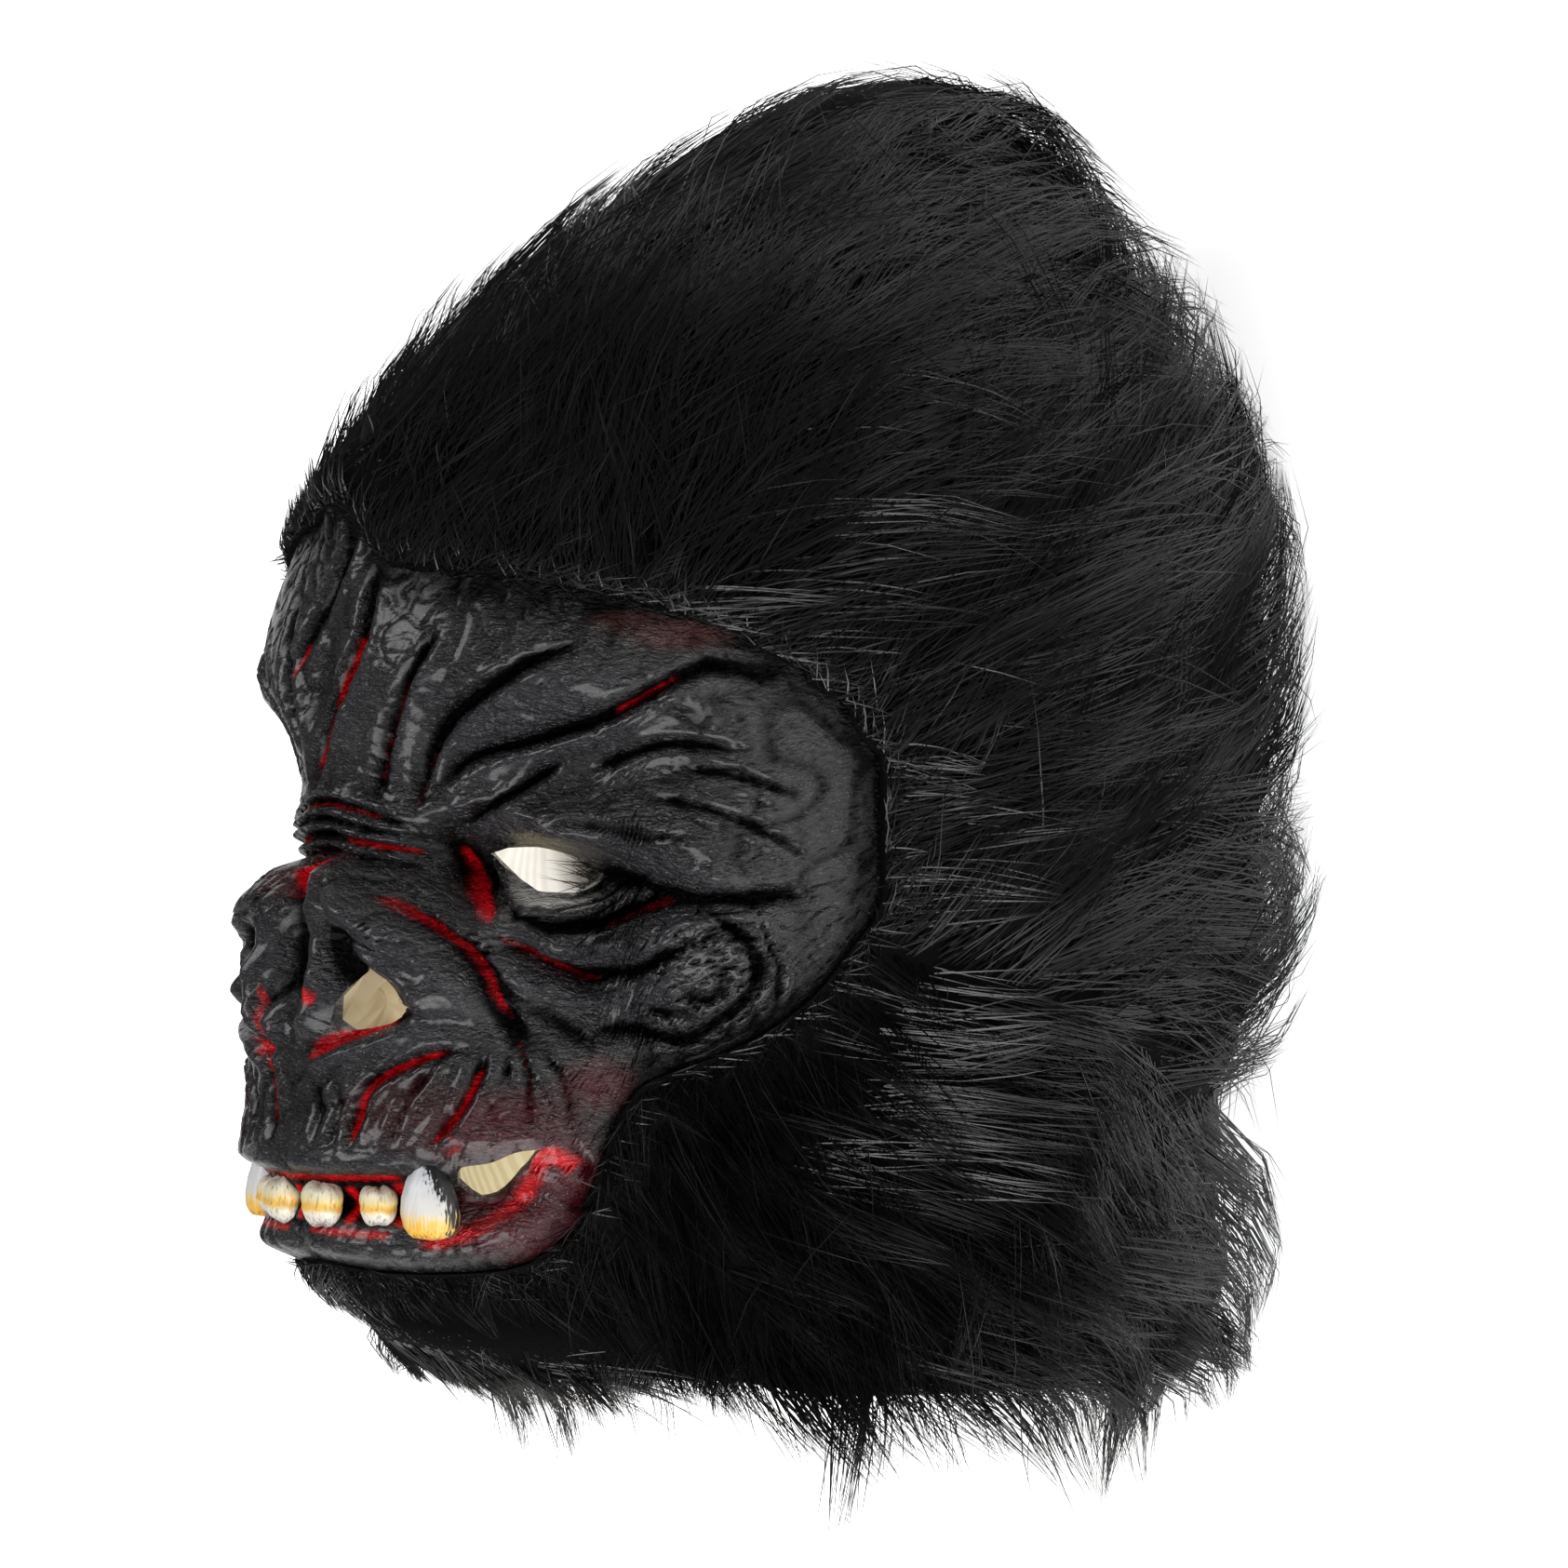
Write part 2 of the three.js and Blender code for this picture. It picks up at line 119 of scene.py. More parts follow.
MUZZLE = Stack(
    [-140, 298, -134, 312, -128, 320, -118, 326, -106, 330, -92, 333, -77, 333, -69, 332, -60, 329, -52, 320, -40,
     292],
    [-140, 170, -118, 198, -92, 205, -60, 189, -40, 157],
    [-140, 50, -134, 54, -126, 58, -106, 63, -92, 65, -78, 64, -69, 61, -60, 56, -40, 36])
NOSE = Stack(
    [-86, 300, -78, 320, -70, 332, -58, 336, -44, 334, -33, 334, -26, 332, -20, 318],
    [-86, 216, -58, 250, -33, 250, -20, 228],
    [-86, 28, -78, 38, -70, 46, -60, 50, -48, 47, -34, 42, -26, 38, -20, 26])
EDGE_TOP = curve([-92, 5, -84, 18, -72, 32, -58, 44, -40, 54, -25, 61, -12, 66, 2, 71, 5, 67, 8, 59, 12, 55, 25, 52,
    40, 48, 58, 41, 72, 31, 84, 18, 92, 5])
EDGE_LOW = curve([0, -129, 14, -131, 28, -130, 36, -126, 41, -116, 45, -104, 49, -88, 53, -81, 62, -77, 72, -71, 82,
    -60, 92, -38])

# Mounds and hollows: angle and height, reach along and across in mm, turn in degrees, rise in mm
MOUNDS = [
    (24, -24, 28, 18, 0, -28),  # eye socket, inner half
    (44, -28, 36, 18, -8, -27),  # eye socket, outer half
    (27, 1, 46, 28, 0, -16),  # hollow under the forehead
    (49, 1, 36, 26, 0, -9),  # flat of the temple
    (18, 40, 24, 22, 0, 1),  # forehead beside the middle
    (55, 22, 44, 16, -14, 2),  # roll above the temple
    (64, -54, 30, 28, 0, 8),  # cheek pouch
    (19, -60, 24, 20, 0, 2.5),  # wing of the nose
    (11, -34, 22, 13, 0, 4),  # top of the nose
    (43, -56, 18, 18, 0, -5),  # hollow beside the nose
    (14, -58, 16, 13, 30, -9),  # nostril
    (0, -46, 12, 32, 0, -9),  # groove between the nostrils
    (0, 26, 9, 50, 0, -3),  # parting of the forehead
    (20, -127, 60, 11, 0, 2.5),  # lower lip
    (0, -115, 64, 19, 0, 3.2),  # set of the jaw
    (0, -98, 70, 11, 0, 1.5),  # edge of the upper lip
    (24, -111, 60, 8, 0, -6),  # gum between the lips
]

# Openings: upper and lower outline, which share their two ends
OPENINGS = {
    "eye": ([21, -21, 25, -19.6, 31, -19.4, 37, -20.6, 42, -23.5, 45, -27],
            [21, -21, 23, -24.5, 27, -28.6, 32, -31.2, 38, -31.4, 42, -29.6, 45, -27]),
    "nostril": ([8, -65, 9.6, -60, 11, -54, 12.4, -49.6, 14.2, -50.4, 16.4, -55.6, 20, -60.5],
                [8, -65, 10.5, -66.8, 15.5, -65.2, 18, -63, 20, -60.5]),
    "mouth": ([24.5, -107, 26.3, -102, 30, -100.8, 34.3, -97.8, 37.2, -97.4],
              [24.5, -107, 26.5, -110.7, 28.5, -110.4, 32, -107.2, 34.8, -102, 37.2, -97.4]),
}

BOTH, LEFT, RIGHT = (1, -1), (1,), (-1,)
# Folds drawn on each side: places along the line, half width and rise in mm, less than 0 for a crease
FOLDS = {BOTH: [
    ([22, 38, 20, 31, 15.3, 18, 11, 7, 9.4, -7], 1.3, -2.6),
    ([43.3, 34, 35.3, 28, 28, 20.3, 22.6, 15.6, 18, 8, 15.8, -2, 15.7, -9.5], 1.5, -3.0),
    ([72, 25, 68.5, 26.7, 62.5, 28.3, 57.7, 25, 52.8, 20.2, 47.2, 14.6, 39.3, 10.7, 31.7, 7.5, 24, 5.5, 19.8, 0,
      17, -6.5], 1.6, -3.2),
    ([66.3, 5.8, 60.8, 7.4, 55.2, 7.8, 49.3, 4.2, 44, 1], 1.2, -2.2),
    ([38.7, 3.5, 35, -0.6, 30, -6.2, 24.6, -10.3, 18.3, -14.4], 1.3, -2.6),
    ([36.3, -13.9, 41, -13.2, 47, -15, 53, -17.5, 59.5, -16], 1.1, -1.6),
    ([60, 1, 68, -1, 76, -6], 1.2, -1.4),
    ([52, -6, 60, -8, 70, -14, 78, -22], 1.2, -1.5),
    ([4, 3, 8, 14, 12, 26, 15, 38], 4.5, 1.2),  # rolls between them
    ([13, -3, 14, 9, 18, 20, 25, 30], 4.0, 1.6),
    ([20, 3, 26, 11, 34, 17, 43, 22, 52, 28], 5.0, 2.2),
    ([20, -6, 27, 0.5, 36, 6, 46, 9, 56, 15], 3.2, 1.8),
    ([18, -12, 26, -13, 35, -15, 44, -18.5, 52, -23, 60, -27, 70, -28], 3.6, 2.8),  # brow
    ([46, -25, 52.7, -28.8, 57, -31, 62, -32.6, 69, -32.6, 78, -31], 1.9, -3.0),
    ([21, -26, 27, -33, 33, -35.8, 39, -36, 46, -32], 2.8, 1.8),  # lower eyelid
    ([-4, -7, 5, -8.7, 11.7, -11.9, 16, -15.5], 1.0, -1.9),  # bridge of the nose
    ([-4, -11.2, 4, -12.6, 12, -15.6, 17, -19], 0.9, -1.6),
    ([-4, -15.3, 3.7, -16.9, 11.5, -19.3, 16, -22], 1.0, -1.9),
    ([-4, -19.5, 3.7, -20.7, 10, -22.8, 15, -26], 0.9, -1.5),
    ([18, -17, 17.9, -24.3, 20.4, -30.3, 24.1, -35.1, 28, -40], 1.9, -3.6),  # beside the eye
    ([20.6, -21, 21, -27.4, 25, -32.8, 30.6, -37.5], 1.2, -1.2),
    ([14, -24, 16.5, -29, 20, -34, 25, -40], 2.2, 1.6),
    ([27, -36, 31.6, -38.6, 37.6, -41, 43.7, -40.5, 48.6, -37.6, 53.6, -34.5, 60, -34], 1.8, -3.8),
    ([26, -38, 31.5, -42.7, 38, -46, 45, -46.3, 51, -43.3, 56, -39.5, 63, -38], 3.4, 3.6),
    ([27.8, -40.4, 30.8, -44.7, 35.5, -49.7, 41.2, -53.6, 46, -54], 1.8, -3.2),
    ([39.8, -51, 46, -52.1, 52, -51.6, 56, -47.5, 59.5, -44.5], 1.3, -2.4),
    ([30, -48, 34.5, -54.5, 41, -59.5, 48, -60.3, 55, -57.5, 60, -52], 3.6, 3.2),
    ([30, -54, 33, -59.7, 37, -64, 40.3, -67.6, 43.5, -70], 1.3, -2.0),
    ([44, -67.2, 50.5, -66.1, 55, -68.6, 61, -69.8, 65, -65.4, 69.5, -61], 1.4, -2.2),
    ([62, -35, 64.6, -38.4, 68.7, -42.6, 71, -48.2, 71.6, -54.3, 69.7, -59.8, 66, -63.5], 1.6, -2.6),
    ([71, -41, 74, -47, 76.5, -53, 76, -60], 1.3, -1.8),
    ([59, -57, 63, -60, 66, -56, 65, -50], 1.2, -1.6),
    ([50, -59, 55, -62.5, 60, -64], 1.1, -1.4),
    ([11, -29, 17.6, -36, 24, -43.2, 28, -50.5, 29.8, -59.5, 32, -65.5, 35.5, -71], 2.1, -3.8),
    ([9.5, -43, 13, -47.5, 17, -52, 20.8, -57, 22.5, -62.5], 2.4, 3.4),
    ([7.5, -47, 7.6, -53, 6.6, -60, 4.6, -66, 1.4, -71], 3.0, 2.2),  # septum
    ([8, -54.5, 9.5, -58, 8, -63, 4, -68], 3.4, 2.8),
    ([0, -53, 2.6, -57, 4.6, -61], 1.6, -2.0),
    ([9.5, -40, 10.5, -45, 12, -50, 12.5, -55], 2.8, -5.0),
    ([3, -75.5, 7, -75.5, 11.7, -72.3, 16.4, -69.7, 21, -67.8, 26, -69], 3.0, 2.4),
    ([2, -72.5, 6, -72.8, 12, -67.5, 18.5, -63.5, 21, -61], 1.4, -1.8),
    ([27, -71.5, 25.4, -71.4, 19.7, -75, 14.7, -80, 13, -84.3, 12.1, -91, 12, -98], 1.2, -2.3),
    ([29.5, -73, 28.6, -76.7, 27.4, -83.9, 25.5, -90, 22.5, -97], 1.2, -2.3),
    ([31.5, -66, 32.3, -72.6, 32.2, -79], 1.0, -1.5),
    ([32.4, -68, 34.6, -75, 35.3, -84, 35.5, -92], 1.0, -1.6),
    ([36.2, -71, 39.1, -77, 40.4, -84, 41, -91], 1.0, -1.3),
    ([24, -73.5, 21, -79, 18.5, -88, 17.5, -97], 0.9, -1.2),
    ([4.5, -78, 6.5, -86, 6, -97], 1.0, -1.0),
    ([8.5, -78, 10, -86, 9, -97], 0.9, -1.0),
    ([0, -101, 10, -101, 18, -100, 24, -94.5, 31, -94.5, 38, -93.5, 43, -98], 3.2, 1.2),  # lips
    ([0, -105.8, 11, -105.5, 19.5, -104.8], 1.4, -2.0),
    ([0, -112.5, 12, -112.5, 18.5, -112.5], 5.0, -3.4),
    ([0, -124, 4, -124.2, 14, -125, 20, -126.5, 26.5, -124, 33, -118, 37.5, -109, 40.5, -101], 4.8, 2.6),
    ([40.5, -95, 43, -101, 43.5, -108], 1.5, -1.6)
], LEFT: [
    ([-5.7, 27, -2.2, 43, 2.3, 55, 4.2, 67], 1.5, -2.2),  # forehead, from the middle outwards
    ([9.4, 52, 9.7, 38, 7.8, 28, 2.8, 14, -2, -1], 1.5, -3.0),
    ([8.7, -30.5, 13.5, -36, 17.8, -43, 22.3, -50.4, 25.2, -57.5, 25, -64], 5.4, 3.8),  # nose wing
    ([0, -22, 1.6, -31, 0.6, -38, 0, -47, 0.6, -54], 2.8, -3.4),
    ([-6.4, -52, -4.4, -61, -4.8, -73.5, -3.2, -85.6, -3, -98], 1.3, -1.8)
], RIGHT: [
    ([9, 50, 9, 36, 8, 22, 5, 6], 1.4, -2.4),
    ([8.7, -30.5, 13.5, -36, 17.8, -43, 22.3, -50.4, 25.2, -57.5, 25, -64], 5.4, 1.8)
]}

# Blood red brushed in on each side: places along the line, half width in mm, strength
REDS = {BOTH: [
    ([3.5, -74, 5.2, -73.3, 8.8, -69.5, 12.3, -66.8, 18.2, -62.8], 2.2, 1.0),
    ([12, -30, 17.6, -36.1, 24.1, -43.2, 27.9, -50.5, 29.8, -59.5, 32.1, -66], 1.3, 0.72),
    ([18, -17.5, 17.9, -24.3, 20.4, -30.3, 24.1, -35.1, 28, -40], 1.3, 1.0),
    ([43.7, -40.5, 48.6, -37.6, 53.6, -34.5, 59.3, -33.1], 2.2, 0.45),
    ([27.8, -40.4, 30.8, -44.7, 35.5, -49.7, 41.2, -53.8, 46, -54], 1.4, 0.6),
    ([18, 26, 15.3, 18, 11.1, 7.6, 9.6, -5], 0.8, 0.5),
    ([18.1, 8.3, 15.8, -2.2, 15.7, -9.5], 0.7, 0.45),
    ([58.5, 25.5, 52.8, 20.2, 47.2, 14.6], 1.1, 0.65),
    ([-2, -7.6, 5.1, -9, 11.7, -12.2], 0.9, 0.6),
    ([3.7, -17, 11.5, -19.5, 15.3, -21], 1.1, 0.75),
    ([25.4, -71.4, 19.7, -75, 14.7, -80, 13, -84.3, 12.1, -92, 12, -98], 1.1, 0.92),
    ([29, -75, 27.4, -83.9, 25.5, -90, 22.7, -97], 1.0, 0.85),
    ([32.4, -67.9, 34.6, -75, 35.3, -84], 0.6, 0.5),
    ([-3, -105, 0.5, -106, 11.2, -105.4, 19.2, -104.8], 1.3, 0.85),
    ([9, -107, 9, -118.5], 1.8, 1.0),
    ([17, -105.5, 17.2, -112, 16.8, -119], 3.4, 1.0),
    ([1, -119.5, 9, -119.8, 17, -120.5], 1.7, 0.8),
    ([18, -121, 22, -122, 28, -118, 34, -109, 38, -99], 3.4, 0.8),
    ([35.5, -103, 37.6, -98.4, 40, -100, 42, -103.5], 3.2, 1.0),
    ([24, -99, 27, -97, 25, -91], 1.8, 0.55)
], LEFT: [
    ([0, -22.5, 1.6, -28, 2.2, -33], 5.2, 0.95),
    ([2.6, -30, 1.6, -37, 0.6, -42, 0.4, -49], 2.8, 1.0),
    ([1.8, -51.5, 4.2, -55.6, 8.2, -60], 2.3, 1.0),
    ([-6.4, 24, -5.7, 27.5, -4, 35], 1.0, 0.7),
    ([9.8, 39, 7.8, 28.7, 2.8, 14.1, -1.9, -1.5], 1.6, 1.0),
    ([-6.4, -52, -4.4, -61, -4.8, -73.5, -3.2, -85.6, -3, -96], 1.1, 0.7),
    ([0, -107, 0, -118], 1.6, 1.0)
]}
# Other paint, and the hollows that get painted shade: angle, height, reach along and across in mm, strength
SPOTS = {
    "maroon": [(33, -116, 24, 13, 0.9), (40, -104, 10, 16, 0.9), (32, -92, 24, 13, 0.7), (45, -81, 12, 9, 0.8),
               (20, -88, 20, 12, 0.35), (2, -26, 10, 8, 0.5)],
    "brown": [(58, 35.5, 17, 5, 1.0), (50, 39, 12, 3.5, 0.6)],
    "grey": [(6, -125, 44, 6.5, 0.85)]}
SHADED_HOLLOWS = [(13, -56, 15, 13, 1.6), (32, -32, 24, 7, 1.6), (11, -45, 7, 12, 1.6), (0, -46, 8, 26, 1.6),
           (23, -24, 20, 12, 1.3), (46, -27, 16, 9, 1.5), (24, -111, 52, 7, 1.2), (30, -52, 12, 22, 0.7)]


def unit(v):
    """Vectors brought to length 1."""
    return v / np.maximum(np.linalg.norm(v, axis=-1, keepdims=True), 1e-9)


def smoothstep(x, a, b):
    """Eases from 0 at a to 1 at b."""
    t = np.clip((x - a) / (b - a), 0, 1)
    return t * t * (3 - 2 * t)


def smooth_max(a, b, blend):
    """The larger of two, rounded where they come near each other."""
    share = np.clip(0.5 + 0.5 * (a - b) / blend, 0, 1)
    return b + (a - b) * share + blend * share * (1 - share)


def ring(degrees, y, form, axis):
    """Distance from an upright line at depth axis out to the far side of a form's ellipse."""
    centre = (form.centre(y) - axis) / form.depth(y)
    across = np.sin(np.radians(degrees)) / form.half(y)
    along = np.cos(np.radians(degrees)) / form.depth(y)
    a = across ** 2 + along ** 2
    inside = (along * centre) ** 2 - a * (centre ** 2 - 1)
    return np.where(inside > 0, np.maximum(0, (np.sqrt(np.maximum(inside, 0)) + along * centre) / a), 0)


def bell(degrees, y, at, height, long, wide, turn=0):
    """1 at a place and its mirror place, falling as (1 - d^2)^2 to 0 at the reach along and across."""
    u, v = (np.abs(degrees) - at) * ARC, y - height
    c, s = math.cos(math.radians(turn)), math.sin(math.radians(turn))
    d2 = ((u * c + v * s) / long) ** 2 + ((v * c - u * s) / wide) ** 2
    return np.clip(1 - d2, 0, None) ** 2


def face_radius(degrees, y):
    """Distance of the plain face from its upright line: head, muzzle and nose run together, with the mounds on."""
    radius = smooth_max(ring(degrees, y, HEAD, AXIS), ring(degrees, y, MUZZLE, AXIS), 9)
    radius = smooth_max(radius, ring(degrees, y, NOSE, AXIS), 4)
    for *mound, rise in MOUNDS:
        radius = radius + rise * bell(degrees, y, *mound)
    return radius


def on_axis(degrees, y, radius):
    """Point at an angle, height and distance from the face's upright line."""
    t = np.radians(degrees)
    return np.stack([radius * np.sin(t), y + 0 * t, AXIS + radius * np.cos(t)], -1)


WAVES = 24


def ripple(u, v, seed):
    """Even random field of about unit height: cosines in random directions, lengths near 2 pi and random phases."""
    rng = np.random.default_rng(seed)
    total = 0
    for angle, size, phase in rng.uniform((0, 0.7, 0), (2 * np.pi, 1.4, 2 * np.pi), (WAVES, 3)):
        total = total + np.cos(size * (u * math.cos(angle) + v * math.sin(angle)) + phase)
    return total / math.sqrt(WAVES / 2)


def wrinkles(u, v, seed, width):
    """Net of thin valleys, 0 between them and -1 at their floors, where the random field crosses zero."""
    return -np.exp(-(ripple(u, v, seed) / width) ** 2)


def rounded(points):
    """Corners cut twice: each gives way to two points a quarter along its sides."""
    points = np.array(points, float).reshape(-1, 2)
    for _ in range(2):
        a, b = points[:-1], points[1:]
        cut = np.stack([0.75 * a + 0.25 * b, 0.25 * a + 0.75 * b], 1).reshape(-1, 2)
        points = np.vstack([points[:1], cut, points[-1:]])
    return points


def beside_line(degrees, y, places, reach):
    """Which places lie within a reach in mm of a line, how far they are from it, and how near its ends: the share of
    its length from their foot on it to the nearer end."""
    line = rounded(places) * [ARC, 1]
    low, high = line.min(0) - reach, line.max(0) + reach
    near = np.flatnonzero((degrees * ARC > low[0]) & (degrees * ARC < high[0]) & (y > low[1]) & (y < high[1]))
    u, v = degrees[near] * ARC, y[near]
    lengths = np.hypot(*np.diff(line, axis=0).T)
    start = np.concatenate([[0], np.cumsum(lengths)])
    best, share = np.full(len(near), 1e6), np.zeros(len(near))
    for a, b, length, before in zip(line[:-1], line[1:], lengths, start):
        t = np.clip(((u - a[0]) * (b - a)[0] + (v - a[1]) * (b - a)[1]) / length ** 2, 0, 1)
        d = np.hypot(u - a[0] - t * (b - a)[0], v - a[1] - t * (b - a)[1])
        closer = d < best
        best, share = np.where(closer, d, best), np.where(closer, (before + t * length) / start[-1], share)
    return near, best, np.minimum(share, 1 - share)


def drawn(table):
    """Each line of a table with each side that it is drawn on."""
    return [(side, *line) for sides, lines in table.items() for line in lines for side in sides]


FOLD_STRENGTH = 1.15  # all folds are a little deeper than measured, to read through the paint


def polar(u, v):
    """Distance and direction of places from the origin."""
    return np.hypot(u, v), np.arctan2(v, u)


def relief(degrees, y):
    """Height of the skin's folds and wrinkles over its plain form, in mm. A fold's height falls as exp(-(d/w)^2) over
    the distance to its line and tapers to its ends; a crease also lifts the skin beside it."""
    height = np.zeros(np.shape(y))
    for side, places, width, rise in drawn(FOLDS):
        near, d, end = beside_line(side * degrees, y, places, 5 * width)
        taper = np.clip(end / 0.18, 0.05, 1) ** 0.6
        lift = 0.35 * np.exp(-((d - 2.4 * width) / (1.3 * width)) ** 2) if rise < 0 else 0
        height[near] += FOLD_STRENGTH * taper * rise * (np.exp(-(d / width) ** (1.4 if rise < 0 else 2)) - lift)

    # The nets of wrinkles mirror each other but for a shift of the random field
    s, side = np.abs(degrees) * ARC, np.sign(degrees) * 7.3
    # Cheek pouch: wrinkles in rings
    r, t = np.hypot(s - 62 * ARC, (y + 52) * 1.05), np.arctan2(y + 52, s - 62 * ARC)
    height += 1.7 * np.exp(-((r - 14) / 14) ** 2) * wrinkles(r / 0.9 + side, t * 8, 3, 0.4)
    # Under the eye: rolls that follow its lower rim
    r, t = polar((s - 33 * ARC) / 1.6, y + 20)
    under = np.exp(-((r - 24) / 11) ** 2) * np.clip(-(y + 20) / 8, 0, 1)
    height += 1.7 * under * wrinkles(r / 0.85 + side, t * 7, 5, 0.4)
    # Bridge of the nose: level wrinkles
    bridge = np.exp(-((y + 14) / 11) ** 2 - (s / 30) ** 2)
    height += bridge * wrinkles(degrees / 7, (y + 0.16 * s) / 0.62, 7, 0.5)
    # Forehead and temple: wrinkles that fan out from the bridge
    r, t = polar(y + 45, s - 2)
    brow = 1 / (1 + np.exp(-(y + 30) / 4)) * (0.55 + 0.45 * np.clip((s - 60) / 30, 0, 1))
    height += 0.9 * brow * wrinkles(t * 30 + side, r / 6, 9, 0.4)
    # Lips: furrows across them
    r, t = polar(-(y + 58), s - 26 * ARC)
    upper = np.exp(-((y + 84) / 13) ** 4) * np.clip((48 - np.abs(degrees)) / 8, 0, 1)
    height += upper * wrinkles(t * 17 + side, r / 8, 11, 0.45)
    r, t = polar(-(y + 88), s - 17 * ARC)
    lower = np.clip((r - 30) / 5, 0, 1) * np.clip((-97 - y) / 6, 0, 1)
    height += 1.1 * lower * wrinkles(t * 24 + side, r / 9, 13, 0.4)
    # Leathery net over all
    height += 0.55 * wrinkles(degrees * ARC / 1.9, y / 1.3, 17, 0.22)
    return height


def brushed(degrees, y):
    """Strength of the red paint, 0 to 1, which thins out towards the ends of its lines."""
    red = np.zeros(np.shape(y))
    for side, places, width, strength in drawn(REDS):
        near, d, end = beside_line(side * degrees, y, places, 3 * width)
        red[near] = np.maximum(red[near], strength * np.clip(end / 0.12, 0.3, 1) * np.exp(-(d / width) ** 2))
    return red


# ---- meshes ----
def to_row(points):
    """From the measuring frame in mm to the row frame in metres."""
    return (np.asarray(points, float) - ROW_ORIGIN) / 1000


def joined(parts):
    """Surfaces as one: points, triangles, which material each triangle has, and attributes, 0 where a part has none."""
    starts = np.cumsum([0] + [len(points) for points, *_ in parts])
    names = sorted({name for *_, own in parts for name in own})
    return (np.vstack([points for points, *_ in parts]),
            np.concatenate([triangles + start for (_, triangles, *_), start in zip(parts, starts)]),
            np.concatenate([kinds for _, _, kinds, _ in parts]),
            {name: np.concatenate([own.get(name, np.zeros(len(points))) for points, _, _, own in parts])
             for name in names})


def piece(name, materials, points, triangles, kinds, attributes):
    """A smooth mesh of points in the measuring frame."""
    mesh = bpy.data.meshes.new(name)
    mesh.vertices.add(len(points))
    mesh.vertices.foreach_set("co", to_row(points).astype(np.float32).ravel())
    mesh.loops.add(3 * len(triangles))
    mesh.loops.foreach_set("vertex_index", np.asarray(triangles, np.int32).ravel())
    mesh.polygons.add(len(triangles))
    mesh.polygons.foreach_set("loop_start", np.arange(0, 3 * len(triangles), 3, dtype=np.int32))
    mesh.polygons.foreach_set("material_index", np.asarray(kinds, np.int32))
    mesh.update(calc_edges=True)
    mesh.shade_smooth()
    for key, values in attributes.items():
        mesh.attributes.new(key, "FLOAT", "POINT").data.foreach_set("value", np.asarray(values, np.float32))
    for material in materials:
        mesh.materials.append(material)
    mesh.set_sharp_from_angle(angle=math.radians(65))  # only real edges stay sharp
    made = bpy.data.objects.new(name, mesh)
    bpy.context.scene.collection.objects.link(made)
    return made


def quads(a, b, c, d):
    """Two triangles for each four corners in turn."""
    return np.concatenate([np.stack([a, b, c], -1).reshape(-1, 3), np.stack([a, c, d], -1).reshape(-1, 3)])


def strip(fine, coarse):
    """Triangles between a line of a surface's edge and a line behind it that has every second of its points."""
    a, m, b = fine[:-2:2], fine[1:-1:2], fine[2::2]
    p, q = coarse[:-1], coarse[1:]
    return np.concatenate([np.stack(t, -1) for t in ((m, a, p), (p, q, m), (b, m, q))])


# ---- latex casting ----
FACE_COLUMNS, FACE_ROWS = 292, 248
SLIT_REACH = 17  # how far from an opening the grid's rows bend


def face_places():
    """Grid over the casting: columns closer together in front, rows that share the height between its two edges,
    each edge grown by the flange."""
    side = np.linspace(-1, 1, FACE_COLUMNS + 1)
    degrees = (EDGE_ANGLE + FLANGE / ARC) * side * (0.75 + 0.25 * side ** 2)
    steps = np.array([-1, -0.7, 0, 0.7, 1])
    near, more = degrees[:, None] + steps * FLANGE / ARC, FLANGE * np.sqrt(1 - steps ** 2)
    low, high = (EDGE_LOW(np.abs(near)) - more).min(1), (EDGE_TOP(near) + more).max(1)
    share = np.linspace(0, 1, FACE_ROWS + 1)
    return degrees[:, None] + 0 * share, low[:, None] + (high - low)[:, None] * share


def open_slit(degrees, y, outline, side):
    """Parts a row of the grid into an opening: the row splits into the two outlines, and the rows above and below
    move with them by a bell that dies out at the reach. Returns the rows' heights, the slit's first and last column
    and row, and its upper edge."""
    upper, lower = (curve(sorted((side * a, h) for a, h in zip(line[::2], line[1::2]))) for line in outline)
    ends = sorted((side * outline[0][0], side * outline[0][-2]))
    column = degrees[:, 0]
    first, last = (2 * round(np.searchsorted(column, end) / 2) for end in ends)
    middle = (first + last) // 2
    height = (upper(column[middle]) + lower(column[middle])) / 2
    row = 2 * round(np.searchsorted(y[middle], height) / 2)
    past = np.clip(np.maximum(column[first] - column, column - column[last]) * ARC / SLIT_REACH, 0, 1)
    fade = (1 - past ** 2) ** 2
    at = np.clip(column, column[first], column[last])
    line = y[:, row].copy()
    base = np.where(past > 0, y[np.clip(np.arange(len(column)), first, last), row], line)
    rise, drop = (upper(at) - base) * fade, (lower(at) - base) * fade
    closed = (np.arange(len(column)) <= first) | (np.arange(len(column)) >= last)
    rise = np.where(closed, (rise + drop) / 2, rise)
    drop = np.where(closed, rise, drop)
    bend = np.clip(1 - ((y - line[:, None]) / SLIT_REACH) ** 2, 0, None) ** 2
    above = np.arange(y.shape[1]) > row
    moved = y + bend * np.where(above, rise[:, None], drop[:, None])
    return moved, (first, last, row, (line + rise)[first + 1:last])


def inside_face(degrees, y):
    """Rough distance in mm from a place on the face in from the casting's visible edge, negative on the flange."""
    up, down = EDGE_TOP(degrees) - y, y - EDGE_LOW(np.abs(degrees))
    return np.minimum(np.minimum(up, down), (EDGE_ANGLE - np.abs(degrees)) * ARC)


